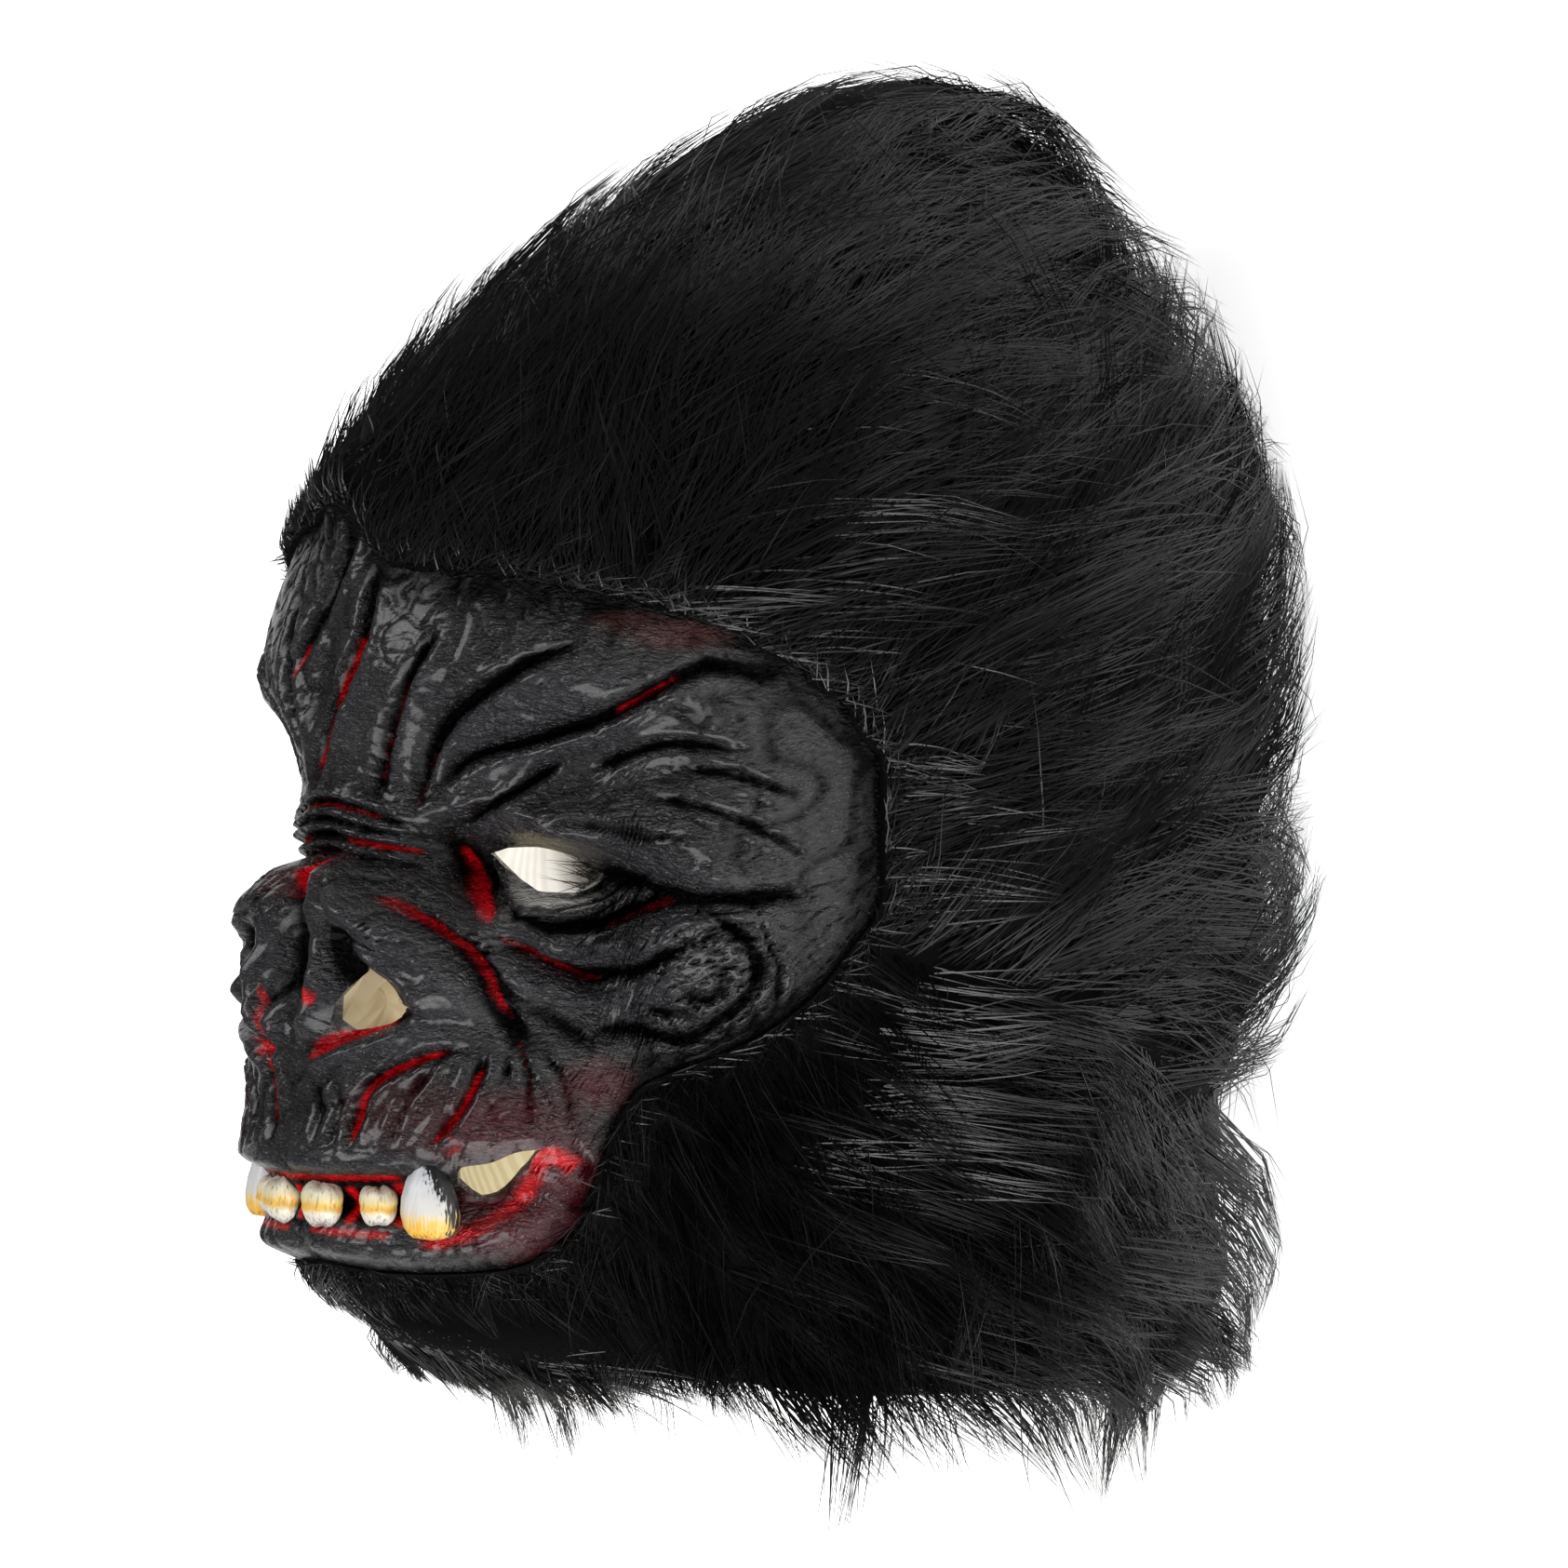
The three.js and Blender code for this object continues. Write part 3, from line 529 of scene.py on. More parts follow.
def latex_face():
    """The casting: an outer grid with its relief, an inner grid of half as many rows and columns one wall behind it
    along the normal, and strips that close the edge and the rims of the openings."""
    degrees, y = face_places()
    slits = []
    for outline in OPENINGS.values():
        for side in BOTH:
            y, slit = open_slit(degrees, y, outline, side)
            slits.append(slit)
    index = np.arange(y.size).reshape(y.shape)
    a, b, c, d = index[:-1, :-1].copy(), index[1:, :-1].copy(), index[1:, 1:], index[:-1, 1:]
    count, places, upper_edges = y.size, [(degrees.ravel(), y.ravel())], []
    for first, last, row, edge in slits:
        ids = np.concatenate([[index[first, row]], count + np.arange(len(edge)), [index[last, row]]])
        count += len(edge)
        places.append((degrees[first + 1:last, row], edge))
        a[first:last, row], b[first:last, row] = ids[:-1], ids[1:]
        upper_edges.append(ids)
    degrees, y = np.concatenate(places, axis=1)
    height = relief(degrees, y) * smoothstep(inside_face(degrees, y), -1, 5)
    outer = on_axis(degrees, y, face_radius(degrees, y) + height)
    front = quads(a, b, c, d)

    # The inner wall lies behind the deepest crease near each place, along the normal of the plain form
    step, rise = 1.5, 2.5
    around = [on_axis(degrees + i, y + j, face_radius(degrees + i, y + j))
              for i, j in ((step, 0), (-step, 0), (0, rise), (0, -rise))]
    normal = unit(np.cross(around[0] - around[1], around[2] - around[3]))
    low = height[:index.size].reshape(index.shape)
    low = np.min([np.roll(low, (i, j), (0, 1)) for i in range(-2, 3) for j in range(-2, 3)], 0).ravel()
    low = np.concatenate([low, height[index.size:] - 1])
    deep = on_axis(degrees, y, face_radius(degrees, y) + low) - LATEX * normal

    # Inner grid: every second point, numbered through a table
    inner_ids = np.full(count, -1)
    kept = np.concatenate([index[::2, ::2].ravel()] + [ids[2:-1:2] for ids in upper_edges])
    inner_ids[kept] = count + np.arange(len(kept))
    a, b, c, d = index[:-2:2, :-2:2].copy(), index[2::2, :-2:2].copy(), index[2::2, 2::2], index[:-2:2, 2::2]
    loops = [index[:, 0], index[-1, :], index[::-1, -1], index[0, ::-1]]
    for (first, last, row, _), ids in zip(slits, upper_edges):
        a[first // 2:last // 2, row // 2], b[first // 2:last // 2, row // 2] = ids[:-2:2], ids[2::2]
        loops.append(np.concatenate([ids, index[first:last, row][::-1]]))
    back = quads(*(inner_ids[corner] for corner in (a, d, c, b)))
    rims = np.concatenate([strip(loop, inner_ids[loop[::2]]) for loop in loops])

    # Painted shade: darker in the listed hollows and within 14 mm of the casting's edge, where it turns under the fur
    shade = sum(share * bell(degrees, y, *place) for *place, share in SHADED_HOLLOWS)
    shade = shade + 1.3 * (1 - smoothstep(inside_face(degrees, y), 1, 14))
    # The relief attribute carries the folds' height less the painted shade; the material darkens what is low in it
    paints = {"relief": height - shade, "red": brushed(degrees, y)}
    for name, spots in SPOTS.items():
        paints[name] = np.max([strength * np.sqrt(bell(degrees, y, *place)) for *place, strength in spots], 0)
    return (np.vstack([outer, deep[kept]]), np.concatenate([front, back, rims]),
            np.repeat([0, 1, 0], [len(front), len(back), len(rims)]),
            {name: np.concatenate([value, value[kept]]) for name, value in paints.items()})


def on_face(x, h, z, degrees, y):
    """Carries a small shape to a place on the face: x level along it, h up, z out."""
    t, out = math.radians(degrees), face_radius(degrees, y) + 0.6 + z
    return np.stack([out * math.sin(t) + x * math.cos(t), y + h, AXIS + out * math.cos(t) - x * math.sin(t)], -1)


def wrapped(shape, kind, **attributes):
    """A closed surface, with its normals out, from a grid of points that goes round in its first direction and ends in
    poles in its second."""
    n, m = shape.shape[0] - 1, shape.shape[1] - 1
    in_turn = lambda grid: np.concatenate([[grid[:, 0].mean(0), grid[:, m].mean(0)],
                                           grid[:n, 1:m].reshape(-1, *grid.shape[2:])])
    number = lambda p, q: np.where(q == 0, 0, np.where(q == m, 1, 2 + (p % n) * (m - 1) + q - 1))
    i, j = np.meshgrid(np.arange(n), np.arange(m), indexing="ij")
    triangles = quads(number(i, j), number(i + 1, j), number(i + 1, j + 1), number(i, j + 1))
    triangles = triangles[(triangles != np.roll(triangles, 1, 1)).all(1)]
    points = in_turn(shape)
    a, b, c = points[triangles].transpose(1, 0, 2)
    if np.einsum("ij,ij->", a, np.cross(b, c)) < 0:
        triangles = triangles[:, ::-1]
    attributes = {name: in_turn(value) for name, value in attributes.items()}
    return points, triangles, np.full(len(triangles), kind), attributes


TOOTH_Y, FANG_FOOT = -112.8, -121
FANG_HEIGHTS = [0, 0.05, 0.14, 0.28, 0.45, 0.62, 0.78, 0.9, 1]
FANG_WIDTHS = [0.5, 0.78, 0.97, 1.04, 0.98, 0.8, 0.54, 0.3, 0]


def tooth(angle, side, width, height, depth):
    """Squat crown: an ellipsoid that narrows towards the lip and pinches at its middle, so it shows two lobes, with a
    chewed upper edge that waves round it."""
    turn, up = np.meshgrid(np.linspace(0, 2 * np.pi, 33), np.linspace(-np.pi / 2, np.pi / 2, 21), indexing="ij")
    waist = (1 - 0.10 * np.exp(-((np.sin(up) + 0.1) / 0.2) ** 2)) * (0.88 + 0.12 * np.sin(up))
    x = width / 2 * np.sign(np.cos(turn)) * np.abs(np.cos(turn)) ** 0.8 * np.cos(up) ** 0.62 * waist
    chewed = 0.09 * np.cos(2 * turn + side) + 0.07 * np.sin(5 * turn + angle) * (up > 0)
    h = height / 2 * np.sin(up) * (1 + chewed)
    z = depth * np.sin(turn) * np.cos(up) ** 0.6 * waist * (1 + 0.25 * np.exp(-((np.sin(up) + 0.15) / 0.16) ** 2))
    return wrapped(on_face(x, h, z, side * angle, TOOTH_Y), 2, along=(np.sin(up) + 1) / 2)


def fang(angle, side, radius, height):
    """Tapering tooth: circles that shrink to a tip, bowed back and to the front, finely fluted. Its outer side gets
    painted shade, more so towards the tip."""
    turn, up = np.meshgrid(np.linspace(0, 2 * np.pi, 37), np.linspace(0, 1, 30), indexing="ij")
    size = radius * np.interp(up, FANG_HEIGHTS, FANG_WIDTHS) * (1 + 0.03 * np.sin(9 * turn + 4 * up))
    x = size * np.cos(turn) - side * (2.2 * up ** 1.3 - 0.5)
    z = size * np.sin(turn) * 0.8 + 3.2 - 1.2 * up ** 2
    # Painted shade on the outer side, growing towards the tip
    dark = side * np.cos(turn) * (1 - 0.4 * np.sin(turn)) + 1.1 * up ** 1.6
    return wrapped(on_face(x, height * up, z, side * angle, FANG_FOOT), 3, along=up, dark=dark)


# ---- hood ----
def hood_radius(turn, y, inset, chin_inset):
    """Distance from the hood's own middle line out to the hood, or to the chin that stands out in front of it and
    runs into it from 128 to 105 mm down."""
    axis = HOOD.centre(y)
    chin = ring(turn, y, CHIN, axis) - chin_inset
    return smooth_max(ring(turn, y, HOOD, axis) - inset, np.where(y < -105, chin - 0.9 * np.clip(y + 128, 0, 30), 0), 6)


def hood_point(turn, y, inset=0.0, chin_inset=0.0):
    """Point of the hood at an angle round its middle line and a height, drawn in by an inset."""
    radius, t = hood_radius(turn, y, inset, chin_inset), np.radians(turn)
    return np.stack([radius * np.sin(t), y + 0 * t, HOOD.centre(y) + radius * np.cos(t)], -1)


MIDDLE_Y = 20
MIDDLE = np.array([0, MIDDLE_Y, HOOD.centre(MIDDLE_Y)])
LATITUDES, LONGITUDES = 90, 240


def above_level(points, inset=0, chin_inset=0):
    """How far points lie outside the hood, measured level from its middle line, and the level way out to them."""
    x, y, z = np.moveaxis(points, -1, 0)
    out = np.stack([x, 0 * y, z - HOOD.centre(y)], -1)
    turn = np.degrees(np.arctan2(x, out[..., 2]))
    return np.linalg.norm(out, axis=-1) - hood_radius(turn, y, inset, chin_inset), unit(out)


def reach_table():
    """How far the hood lies from its middle in every direction above the level, found by halving."""
    down, turn = np.meshgrid(np.linspace(0, np.pi / 2, LATITUDES + 1), np.linspace(-np.pi, np.pi, LONGITUDES + 1),
                             indexing="ij")
    way = np.stack([np.sin(down) * np.sin(turn), np.cos(down), np.sin(down) * np.cos(turn)], -1)
    near, far = np.zeros(down.shape), np.full(down.shape, 420.0)  # far: past every side of the hood
    for _ in range(22):
        half = (near + far) / 2
        points = MIDDLE + half[..., None] * way
        inside = (above_level(points)[0] < 0) & (points[..., 1] < CROWN)
        near, far = np.where(inside, half, near), np.where(inside, far, half)
    return near


REACH = reach_table()


def over_hood(points):
    """Height of points over the hood and the line it is measured along: from the middle above its level, and from
    the middle line at the same height below it."""
    level, level_way = above_level(points)
    away = points - MIDDLE
    length, way = np.linalg.norm(away, axis=-1), unit(away)
    i = np.arccos(np.clip(way[..., 1], 0, 1)) / (np.pi / 2) * LATITUDES
    j = (np.arctan2(way[..., 0], way[..., 2]) / np.pi + 1) / 2 * LONGITUDES
    i0, j0 = np.clip(i.astype(int), 0, LATITUDES - 1), np.clip(j.astype(int), 0, LONGITUDES - 1)
    u, v = i - i0, j - j0
    reach = ((REACH[i0, j0] * (1 - v) + REACH[i0, j0 + 1] * v) * (1 - u)
             + (REACH[i0 + 1, j0] * (1 - v) + REACH[i0 + 1, j0 + 1] * v) * u)
    below = points[..., 1] < MIDDLE_Y
    return np.where(below, level, length - reach), np.where(below[..., None], level_way, way)


def face_outline():
    """Places round the edge of the casting where the fur starts, as (arc in mm, height)."""
    a = np.linspace(-EDGE_ANGLE, EDGE_ANGLE, 185)
    low, high = EDGE_LOW(np.abs(a)), EDGE_TOP(a)
    return np.concatenate([np.stack([a * ARC, low], -1), np.stack([a * ARC, high], -1)[::-1]])


OUTLINE = face_outline()


def beyond_face(points):
    """Angle of points round the face's line, their distance outside the casting's visible edge in mm, negative within
    it, and the nearest place on that edge."""
    degrees = np.degrees(np.arctan2(points[:, 0], points[:, 2] - AXIS))
    here = np.stack([degrees * ARC, points[:, 1]], -1)
    best, foot = np.full(len(points), 1e9), np.zeros((len(points), 2))
    for p, q in zip(OUTLINE, np.roll(OUTLINE, -1, 0)):
        e = q - p
        t = np.clip((here - p) @ e / max(e @ e, 1e-9), 0, 1)
        at = p + t[:, None] * e
        d = np.hypot(*(here - at).T)
        closer = d < best
        best, foot = np.where(closer, d, best), np.where(closer[:, None], at, foot)
    return degrees, np.where(inside_face(degrees, points[:, 1]) > 0, -best, best), foot


SNAP = 2.6  # fabric this near to the edge of the face is set right on it


def collar(points, lift):
    """Draws the fabric in to the casting: on the flange within 9 mm of the face's edge, and free 36 mm from it."""
    degrees, away, foot = beyond_face(points)
    snap = np.abs(away) < SNAP
    degrees, y = np.where(snap, foot[:, 0] / ARC, degrees), np.where(snap, foot[:, 1], points[:, 1])
    near = 1 - smoothstep(away, 9, 36)
    under = on_axis(degrees, y, face_radius(degrees, y) + lift)
    near = np.where(snap, 1, near)
    return points * (1 - near[:, None]) + under * near[:, None], np.where(snap, 0, away)


def hem(turn):
    """Cut edge of the neck, a little higher at the throat."""
    return HEM + 5 * smoothstep(np.cos(np.radians(turn)), 0.6, 0.9)


def seam_height(turn):
    """Where the seam's plane meets the hood: solved by a few steps, because the hood's depth changes with height."""
    y = np.full(np.shape(turn), float(SEAM_Y))
    for _ in range(6):
        y = SEAM_Y + (hood_point(turn, y)[..., 2] - SEAM_Z) * SEAM_SLOPE
    return y


PANEL_COLUMNS = 192


def panel(name, materials, low, high, rows):
    """A panel of fabric: a grid of angles and heights between two edges, without what the face takes, as a closed
    shell from the knit inside to the roots of the pile. One without an upper edge closes over the crown. Also returns
    the points and triangles of its outside."""
    turn = np.linspace(-180, 180, PANEL_COLUMNS + 1)[:-1]
    share = np.linspace(0, 1, rows + 1)
    closed = high is None
    if closed:
        high, share = lambda turn: CROWN - 2 + 0 * turn, np.sin(np.pi / 2 * share)
    y = low(turn)[:, None] + (high(turn) - low(turn))[:, None] * share
    turn = turn[:, None] + 0 * y
    outer, away = collar(hood_point(turn.ravel(), y.ravel(), ROOTS, CHIN_ROOTS), 1.9)
    inner, _ = collar(hood_point(turn.ravel(), y.ravel(), PILE, CHIN_PILE), 0.3)
    index = np.arange(y.size).reshape(y.shape)
    ahead, top, count = np.roll(index, -1, 0), index[:, -1], len(outer)
    faces = quads(index[:, :-1], ahead[:, :-1], ahead[:, 1:], index[:, 1:])
    faces = faces[(away[faces] >= 0).all(1)]
    edges = np.concatenate([faces[:, [0, 1]], faces[:, [1, 2]], faces[:, [2, 0]]])
    alone = ~np.isin(edges[:, 0] * count + edges[:, 1], edges[:, 1] * count + edges[:, 0])
    if closed:
        outer[top], inner[top] = outer[top].mean(0), inner[top].mean(0)
        alone &= ~np.isin(edges, top).all(1)
    a, b = edges[alone].T
    rim = quads(b, a, a + count, b + count)
    points, triangles = np.vstack([outer, inner]), np.concatenate([faces, faces[:, ::-1] + count, rim])
    kinds = np.repeat([0, 1, 0], [len(faces), len(faces), len(rim)])
    a, b, c = points[triangles].transpose(1, 0, 2)
    solid = np.linalg.norm(np.cross(b - a, c - a), axis=1) > 1e-6
    return piece(name, materials, points, triangles[solid], kinds[solid], {}), outer, faces


def scattered(points, faces, count, rng):
    """Even random places on triangles: three weights from two random numbers, with the triangle drawn by its area."""
    a, b, c = points[faces].transpose(1, 0, 2)
    area = np.linalg.norm(np.cross(b - a, c - a), axis=1)
    pick = rng.choice(len(faces), count, p=area / area.sum())
    u, v = rng.random((2, count))
    over = u + v > 1
    u, v = np.where(over, 1 - u, u), np.where(over, 1 - v, v)
    return (points[faces[pick]] * np.stack([1 - u - v, u, v], -1)[..., None]).sum(1)


def growth(place, crown):
    """Direction of the pile before it is laid on the surface: back, and up on the crown or down on the neck, more
    upright in front than behind."""
    x, y, z = place.T
    if crown:
        angle = 17 + 24 * smoothstep(y, -30, 110) + 28 * smoothstep(z, 190, 300)
    else:
        angle = -(26 + 24 * smoothstep(-y, 60, 150) + 14 * smoothstep(z, 200, 280))
    angle = np.radians(angle + 12 * ripple(x / 14, (y + z) / 14, 21) + 9 * ripple((x + y) / 5, z / 5, 22))
    side = np.tanh(x / 30) * 0.12 + 0.16 * ripple(z / 9, (x + y) / 9, 23)
    return np.stack([side, np.sin(angle), -np.cos(angle)], -1)


def laid(root, lay, size, tip, shares):
    """Paths that leave their roots along the skin and rise quickly to a height over the hood, where they keep to its
    curve: h = h0 + (tip - h0) (1 - (1 - s)^1.8)."""
    bottom, out = over_hood(root)
    along = unit(lay - (lay * out).sum(1, keepdims=True) * out)
    straight = root[:, None] + along[:, None] * (size[:, None] * shares)[..., None]
    height, way = over_hood(straight)
    wanted = bottom[:, None] + (tip - bottom)[:, None] * (1 - (1 - shares) ** 1.8)
    return straight + way * (wanted - height)[..., None]


def hanging(z):
    """How far the pile hangs under the cut edge of the neck: 28 mm at the sides, none at the throat and 3 mm behind."""
    return 28 * smoothstep(-z, -240, -208) - 25 * smoothstep(-z, -135, -80)


def within_hem(length, lay, y, hang):
    """Length of fibres rooted at a height, cut so that those that run down end at most so far below the hem."""
    room = np.maximum(y - (HEM - hang), 3) / np.maximum(-unit(lay)[:, 1], 0.05)
    return np.where(lay[:, 1] < 0, np.minimum(length, room), length)


def settled(height, low, away, reach):
    """Heights that come down to a low one at the edge of the face."""
    return low + (height - low) * smoothstep(away, 0, reach)


def spikes(paths, width, most, rng):
    """Paths as three-sided spikes in one surface, with a tone for each: a triangle round every joint but the last,
    which is the tip. Widths vary from 0.7 to most times the given one and taper as 1 - s^1.6."""
    count, joints = paths.shape[:2]
    widths = width * rng.uniform(0.7, most, count)[:, None] * (1 - np.linspace(0, 1, joints)[:-1] ** 1.6)
    tone = rng.random(count)
    along = unit(paths[:, -1] - paths[:, 0])
    a = unit(np.cross(along, [0.31, 0.17, 0.94]))
    b = np.cross(along, a)
    t = 2 * np.pi * np.arange(3)[:, None] / 3
    corners = a[:, None] * np.cos(t) + b[:, None] * np.sin(t)
    body = paths[:, :-1, None] + corners[:, None] * widths[..., None, None] / 2
    points = np.concatenate([body.reshape(count, -1, 3), paths[:, -1:]], 1)
    here = np.arange(3 * (joints - 2))
    beside = here + np.where(here % 3 == 2, -2, 1)
    last, tip = 3 * (joints - 2), 3 * (joints - 1)
    sides = quads(here, beside, beside + 3, here + 3)
    local = np.vstack([sides, [(last, last + 1, tip), (last + 1, last + 2, tip), (last + 2, last, tip), (2, 1, 0)]])
    triangles = (local + (tip + 1) * np.arange(count)[:, None, None]).reshape(-1, 3)
    return points.reshape(-1, 3), triangles, np.zeros(len(triangles)), {"tone": np.repeat(tone, tip + 1)}


WILD = 0.05  # share of the fibres that keep to no tuft


def pile(cloth, crown, count, tufts, joints, length, width, pull, seed):
    """Fibres rooted on a cloth and laid on the hood, each drawn towards the tip of the nearest of a number of tufts.
    Tufts differ in length and in how far they stand off; by the edge of the face they are short and lie flat."""
    rng = np.random.default_rng(seed)
    root, centre = scattered(*cloth, count, rng), scattered(*cloth, tufts, rng)
    nearest = np.concatenate([((part[:, None] - centre) ** 2).sum(2).argmin(1) for part in np.array_split(root, 40)])
    shares = np.linspace(0, 1, joints)

    # Tufts: most lie 9 to 16 mm under the hood's outline, and some stand up to it, more of them behind
    away, behind = beyond_face(centre)[1], smoothstep(-centre[:, 2], -190, -80)
    long = length * rng.uniform(0.7, 1.12, tufts) * (0.3 + 0.7 * smoothstep(away, 0, 40))
    lay = growth(centre, crown) + rng.normal(0, 0.24, (tufts, 3))
    hang = hanging(centre[:, 2]) * rng.uniform(0.5, 1.5, tufts)
    long = within_hem(long, lay, centre[:, 1], hang)
    stand = rng.normal(-9 - 7 * behind, 2.8, tufts) + (8 + 9 * behind) * (rng.random(tufts) < 0.16 + 0.12 * behind)
    if not crown:
        stand += 6 * smoothstep(-centre[:, 1], 80, 140) * behind + 4 * smoothstep(centre[:, 2], 225, 250)
    stand = settled(stand, over_hood(centre)[0] + 4.5, away, 26)
    ends = laid(centre, lay, long, stand, shares)[:, -1]

    # Fibres: each near its tuft's length, lay and height, but for the wild ones
    away = beyond_face(root)[1]
    wild = rng.random(count) < WILD
    size = long[nearest] * rng.uniform(0.72, 1.08, count) * np.where(wild, 1.1, 1)
    size = within_hem(size * (0.55 + 0.45 * smoothstep(away, 0, 14)), lay[nearest], root[:, 1], hang[nearest])
    tip = np.minimum(stand[nearest] + rng.normal(0, 1.6, count) + 3.5 * wild, 12)
    tip = settled(tip, over_hood(root)[0] + 3.5, away, 16)
    own_lay = lay[nearest] + rng.normal(0, 0.10, (count, 3)) * np.where(wild, 3, 1)[:, None]
    paths = laid(root, own_lay, size, tip, shares)
    draw = np.where(wild, 0.15, pull * rng.uniform(0.45, 1, count))[:, None] * shares ** 1.3
    gap = ends[nearest] - paths[:, -1]
    gap *= np.minimum(1, 16 / np.maximum(np.linalg.norm(gap, axis=1, keepdims=True), 1e-6))
    paths = paths + draw[..., None] * gap[:, None]
    paths[..., 2] = np.maximum(paths[..., 2], ROW_ORIGIN[2] + 0.6)  # the mask lies on the pile behind
    return spikes(np.clip(paths, FUR_LOW, FUR_HIGH), width, 1.3, rng)


def fringe(count, seed, part):
    """Short fibres rooted along the part of the face's edge that a rule for heights picks, most of them away from the
    face, some across it."""
    rng = np.random.default_rng(seed)
    edge = np.vstack([OUTLINE, OUTLINE[:1]])
    lengths = np.hypot(*np.diff(edge, axis=0).T)
    at = rng.random(4 * count) * lengths.sum()
    k = np.clip(np.searchsorted(np.cumsum(lengths), at), 0, len(lengths) - 1)
    place = edge[k] + (edge[k + 1] - edge[k]) * rng.random(4 * count)[:, None]
    place = place[part(place[:, 1])][:count]
    out = unit(place - [0, -20])
    start = place + out * rng.uniform(0.2, 3.5, count)[:, None]
    turn = rng.normal(0, 0.85, count)
    c, s = np.cos(turn), np.sin(turn)
    brushed_up = np.array([0.25, 1]) * np.where(place[:, 1:] > -40, 1, -0.6)
    way = unit(out * 0.7 + unit(brushed_up) * 0.6)
    way = np.stack([way[:, 0] * c - way[:, 1] * s, way[:, 0] * s + way[:, 1] * c], -1)
    shares = np.array([0, 0.5, 1])
    size = rng.uniform(6, 15, count) * np.where(np.abs(turn) > 1.3, 0.6, 1)
    flat = start[:, None] + way[:, None] * (size[:, None] * shares)[..., None]
    degrees, y = flat[..., 0] / ARC, flat[..., 1]
    lift = 1.6 + rng.uniform(1.5, 5, count)[:, None] * (1 - (1 - shares) ** 2)
    return spikes(on_axis(degrees, y, face_radius(degrees, y) + lift), 0.5, 1.2, rng)


def pulled_through(count, seed):
    """Fibres that stick out of the backing inside, on the wall behind each eye hole: rooted round the place that lies
    behind the hole's outer corner, and fanned out forwards."""
    rng = np.random.default_rng(seed)
    corner = on_axis(46, -28, face_radius(46, -28))
    sight = unit(corner - VIEW_TARGET - VIEW_DISTANCE * BACK_AXIS)
    steps = corner + np.arange(60, 300, 0.5)[:, None] * sight
    wall = steps[np.argmax(above_level(steps, PILE, CHIN_PILE)[0] > 0)]
    root = wall + rng.normal(0, 4.5, (count, 1)) * UP_AXIS + rng.normal(3, 3, (count, 1)) * RIGHT_AXIS
    turn = rng.normal(0.25, 0.5, count)[:, None]
    lay = -np.cos(turn) * RIGHT_AXIS + np.sin(turn) * UP_AXIS + 1.1 * BACK_AXIS
    paths = root[:, None] + (lay * rng.uniform(8, 22, (count, 1)))[:, None] * np.array([0, 0.5, 1])[:, None]
    paths[::2, :, 0] *= -1
    return spikes(paths, 0.55, 1.2, rng)


# ---- materials ----
def paint(hex_colour):
    """sRGB hex to linear RGBA."""
    channels = [int(hex_colour[i:i + 2], 16) / 255 for i in (1, 3, 5)]
    return (*[c / 12.92 if c <= 0.04045 else ((c + 0.055) / 1.055) ** 2.4 for c in channels], 1)


def fill(made, *values, **named):
    """Fills a node. Names in small letters are its settings, of which stops are a colour ramp's places and colours.
    The values go to its live sockets in turn, and names with a capital are sockets. A value is a number, a hex colour,
    an output, or a node that stands for its first live output."""
    for key in [key for key in named if key.islower()]:
        value = named.pop(key)
        if key != "stops":
            setattr(made, key, value)
            continue
        elements = made.color_ramp.elements
        elements.remove(elements[-1])
        for k, (position, colour) in enumerate(value):
            stop = elements.new(position) if k else elements[0]
            stop.position, stop.color = position, paint(colour)
    live = [socket for socket in made.inputs if socket.enabled]
    for socket, value in [*zip(live, values), *((made.inputs[key.replace("_", " ")], named[key]) for key in named)]:
        if isinstance(value, bpy.types.Node):
            value = next(output for output in value.outputs if output.enabled)
        if isinstance(value, bpy.types.NodeSocket):
            made.id_data.links.new(value, socket)
        else:
            socket.default_value = paint(value) if isinstance(value, str) else value


def node(tree, kind, *values, **named):
    """Adds a node with its settings, values and links."""
    made = tree.nodes.new("ShaderNode" + kind)
    fill(made, *values, **named)
    return made


def new_material(name, **sockets):
    """A material, its Principled shader with these sockets filled, and the way to add nodes to it."""
    material = bpy.data.materials.new(name)
    material.use_nodes = True
    shader = next(n for n in material.node_tree.nodes if n.type == "BSDF_PRINCIPLED")
    fill(shader, **sockets)
    return material, shader, functools.partial(node, material.node_tree)


